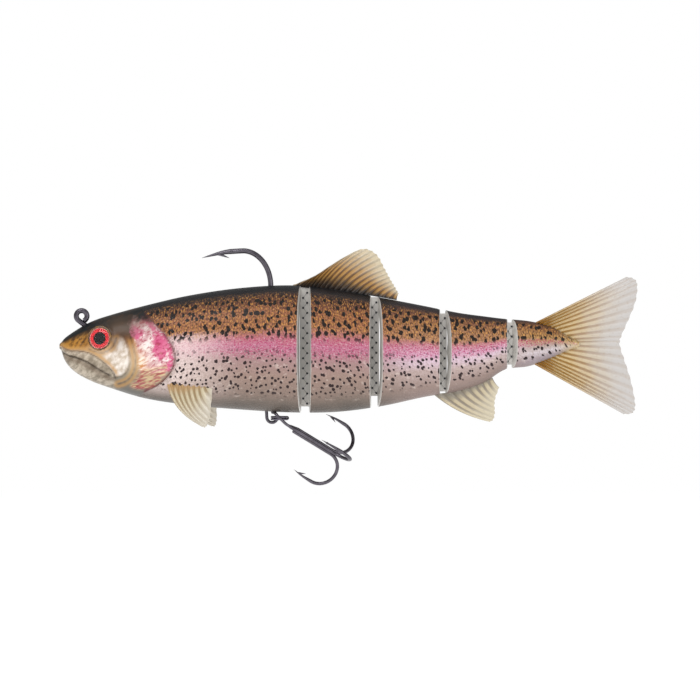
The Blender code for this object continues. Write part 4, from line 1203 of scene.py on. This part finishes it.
def build_stage():
    s = Shader("studio_paper", Roughness=0.9, Emission_Color=(1, 1, 1, 1), Emission_Strength=0.6)
    place = s.node("TexCoord").outputs["Object"]
    s.use(Base_Color=s.mix(s.noise(place, 2.0), "f7f7f7", "fbfbfb"))
    reach, z = 3.0, -0.14
    corners = np.array([(-reach, -reach, z), (reach, -reach, z), (reach, reach, z), (-reach, reach, z)])
    floor = make_object("floor", corners / MM, [(0, 1, 2, 3)], [s.material])


def area_light(name, place, target, size, power, shade=(1, 1, 1)):
    data = bpy.data.lights.new(name, "AREA")
    data.shape = "RECTANGLE"
    data.size, data.size_y = size
    data.energy = power
    data.color = shade
    lamp = bpy.data.objects.new(name, data)
    lamp.location = place
    lamp.rotation_euler = (Vector(target) - Vector(place)).to_track_quat("-Z", "Y").to_euler()
    bpy.context.scene.collection.objects.link(lamp)


AMBIENT = 0.42  # the white surroundings as a light; they look pure white themselves


def build_lights():
    world = bpy.data.worlds.new("studio")
    world.use_nodes = True
    back = world.node_tree.nodes["Background"]
    back.inputs["Color"].default_value = (1, 1, 1, 1)
    seen = world.node_tree.nodes.new("ShaderNodeLightPath").outputs["Is Camera Ray"]
    strength = world.node_tree.nodes.new("ShaderNodeMath")
    strength.operation = "MULTIPLY_ADD"
    strength.inputs[1].default_value = 1.0 - AMBIENT
    strength.inputs[2].default_value = AMBIENT
    world.node_tree.links.new(seen, strength.inputs[0])
    world.node_tree.links.new(strength.outputs[0], back.inputs["Strength"])
    bpy.context.scene.world = world
    middle = (0.084, 0, -0.01)
    area_light("key", (-0.25, -0.75, 0.75), middle, (0.7, 0.35), 6.0)
    area_light("fill", (0.75, -0.8, 0.15), middle, (0.7, 0.7), 2.6)
    area_light("top", (0.084, 0.05, 0.9), middle, (1.0, 0.3), 1.0)
    area_light("under", (0.084, -0.5, -0.6), middle, (0.9, 0.4), 0.6)


def build_camera():
    """A level camera far off the fish's left side, with the picture's middle on the axis."""
    wide, away = 0.2191, 1.6
    data = bpy.data.cameras.new("camera")
    data.sensor_width = 36.0
    data.lens = data.sensor_width * away / wide
    data.clip_end = 10.0
    camera = bpy.data.objects.new("camera", data)
    camera.location = (0.0840, -away, -0.01064)
    camera.rotation_euler = (math.radians(90), 0, 0)
    bpy.context.scene.collection.objects.link(camera)
    bpy.context.scene.camera = camera


bpy.context.scene.view_settings.view_transform = "Standard"
build_camera()
build_lights()
build_stage()
build_sections()
build_webs()
build_fins()
gunmetal = hook_steel("gunmetal", "3c383e", "706c74")
nickel = hook_steel("black_nickel", "4a464e", "7c7884", 0.22)
braze = hook_steel("braze", "3c3632", "6a6058", 0.38)
jig_hook(gunmetal)
belly_eyelet(gunmetal)
split_ring(nickel)
treble(gunmetal, braze)
build_eyes()
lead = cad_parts["jig_weight"]
lead.data.materials.clear()
lead.data.materials.append(lead_grey())
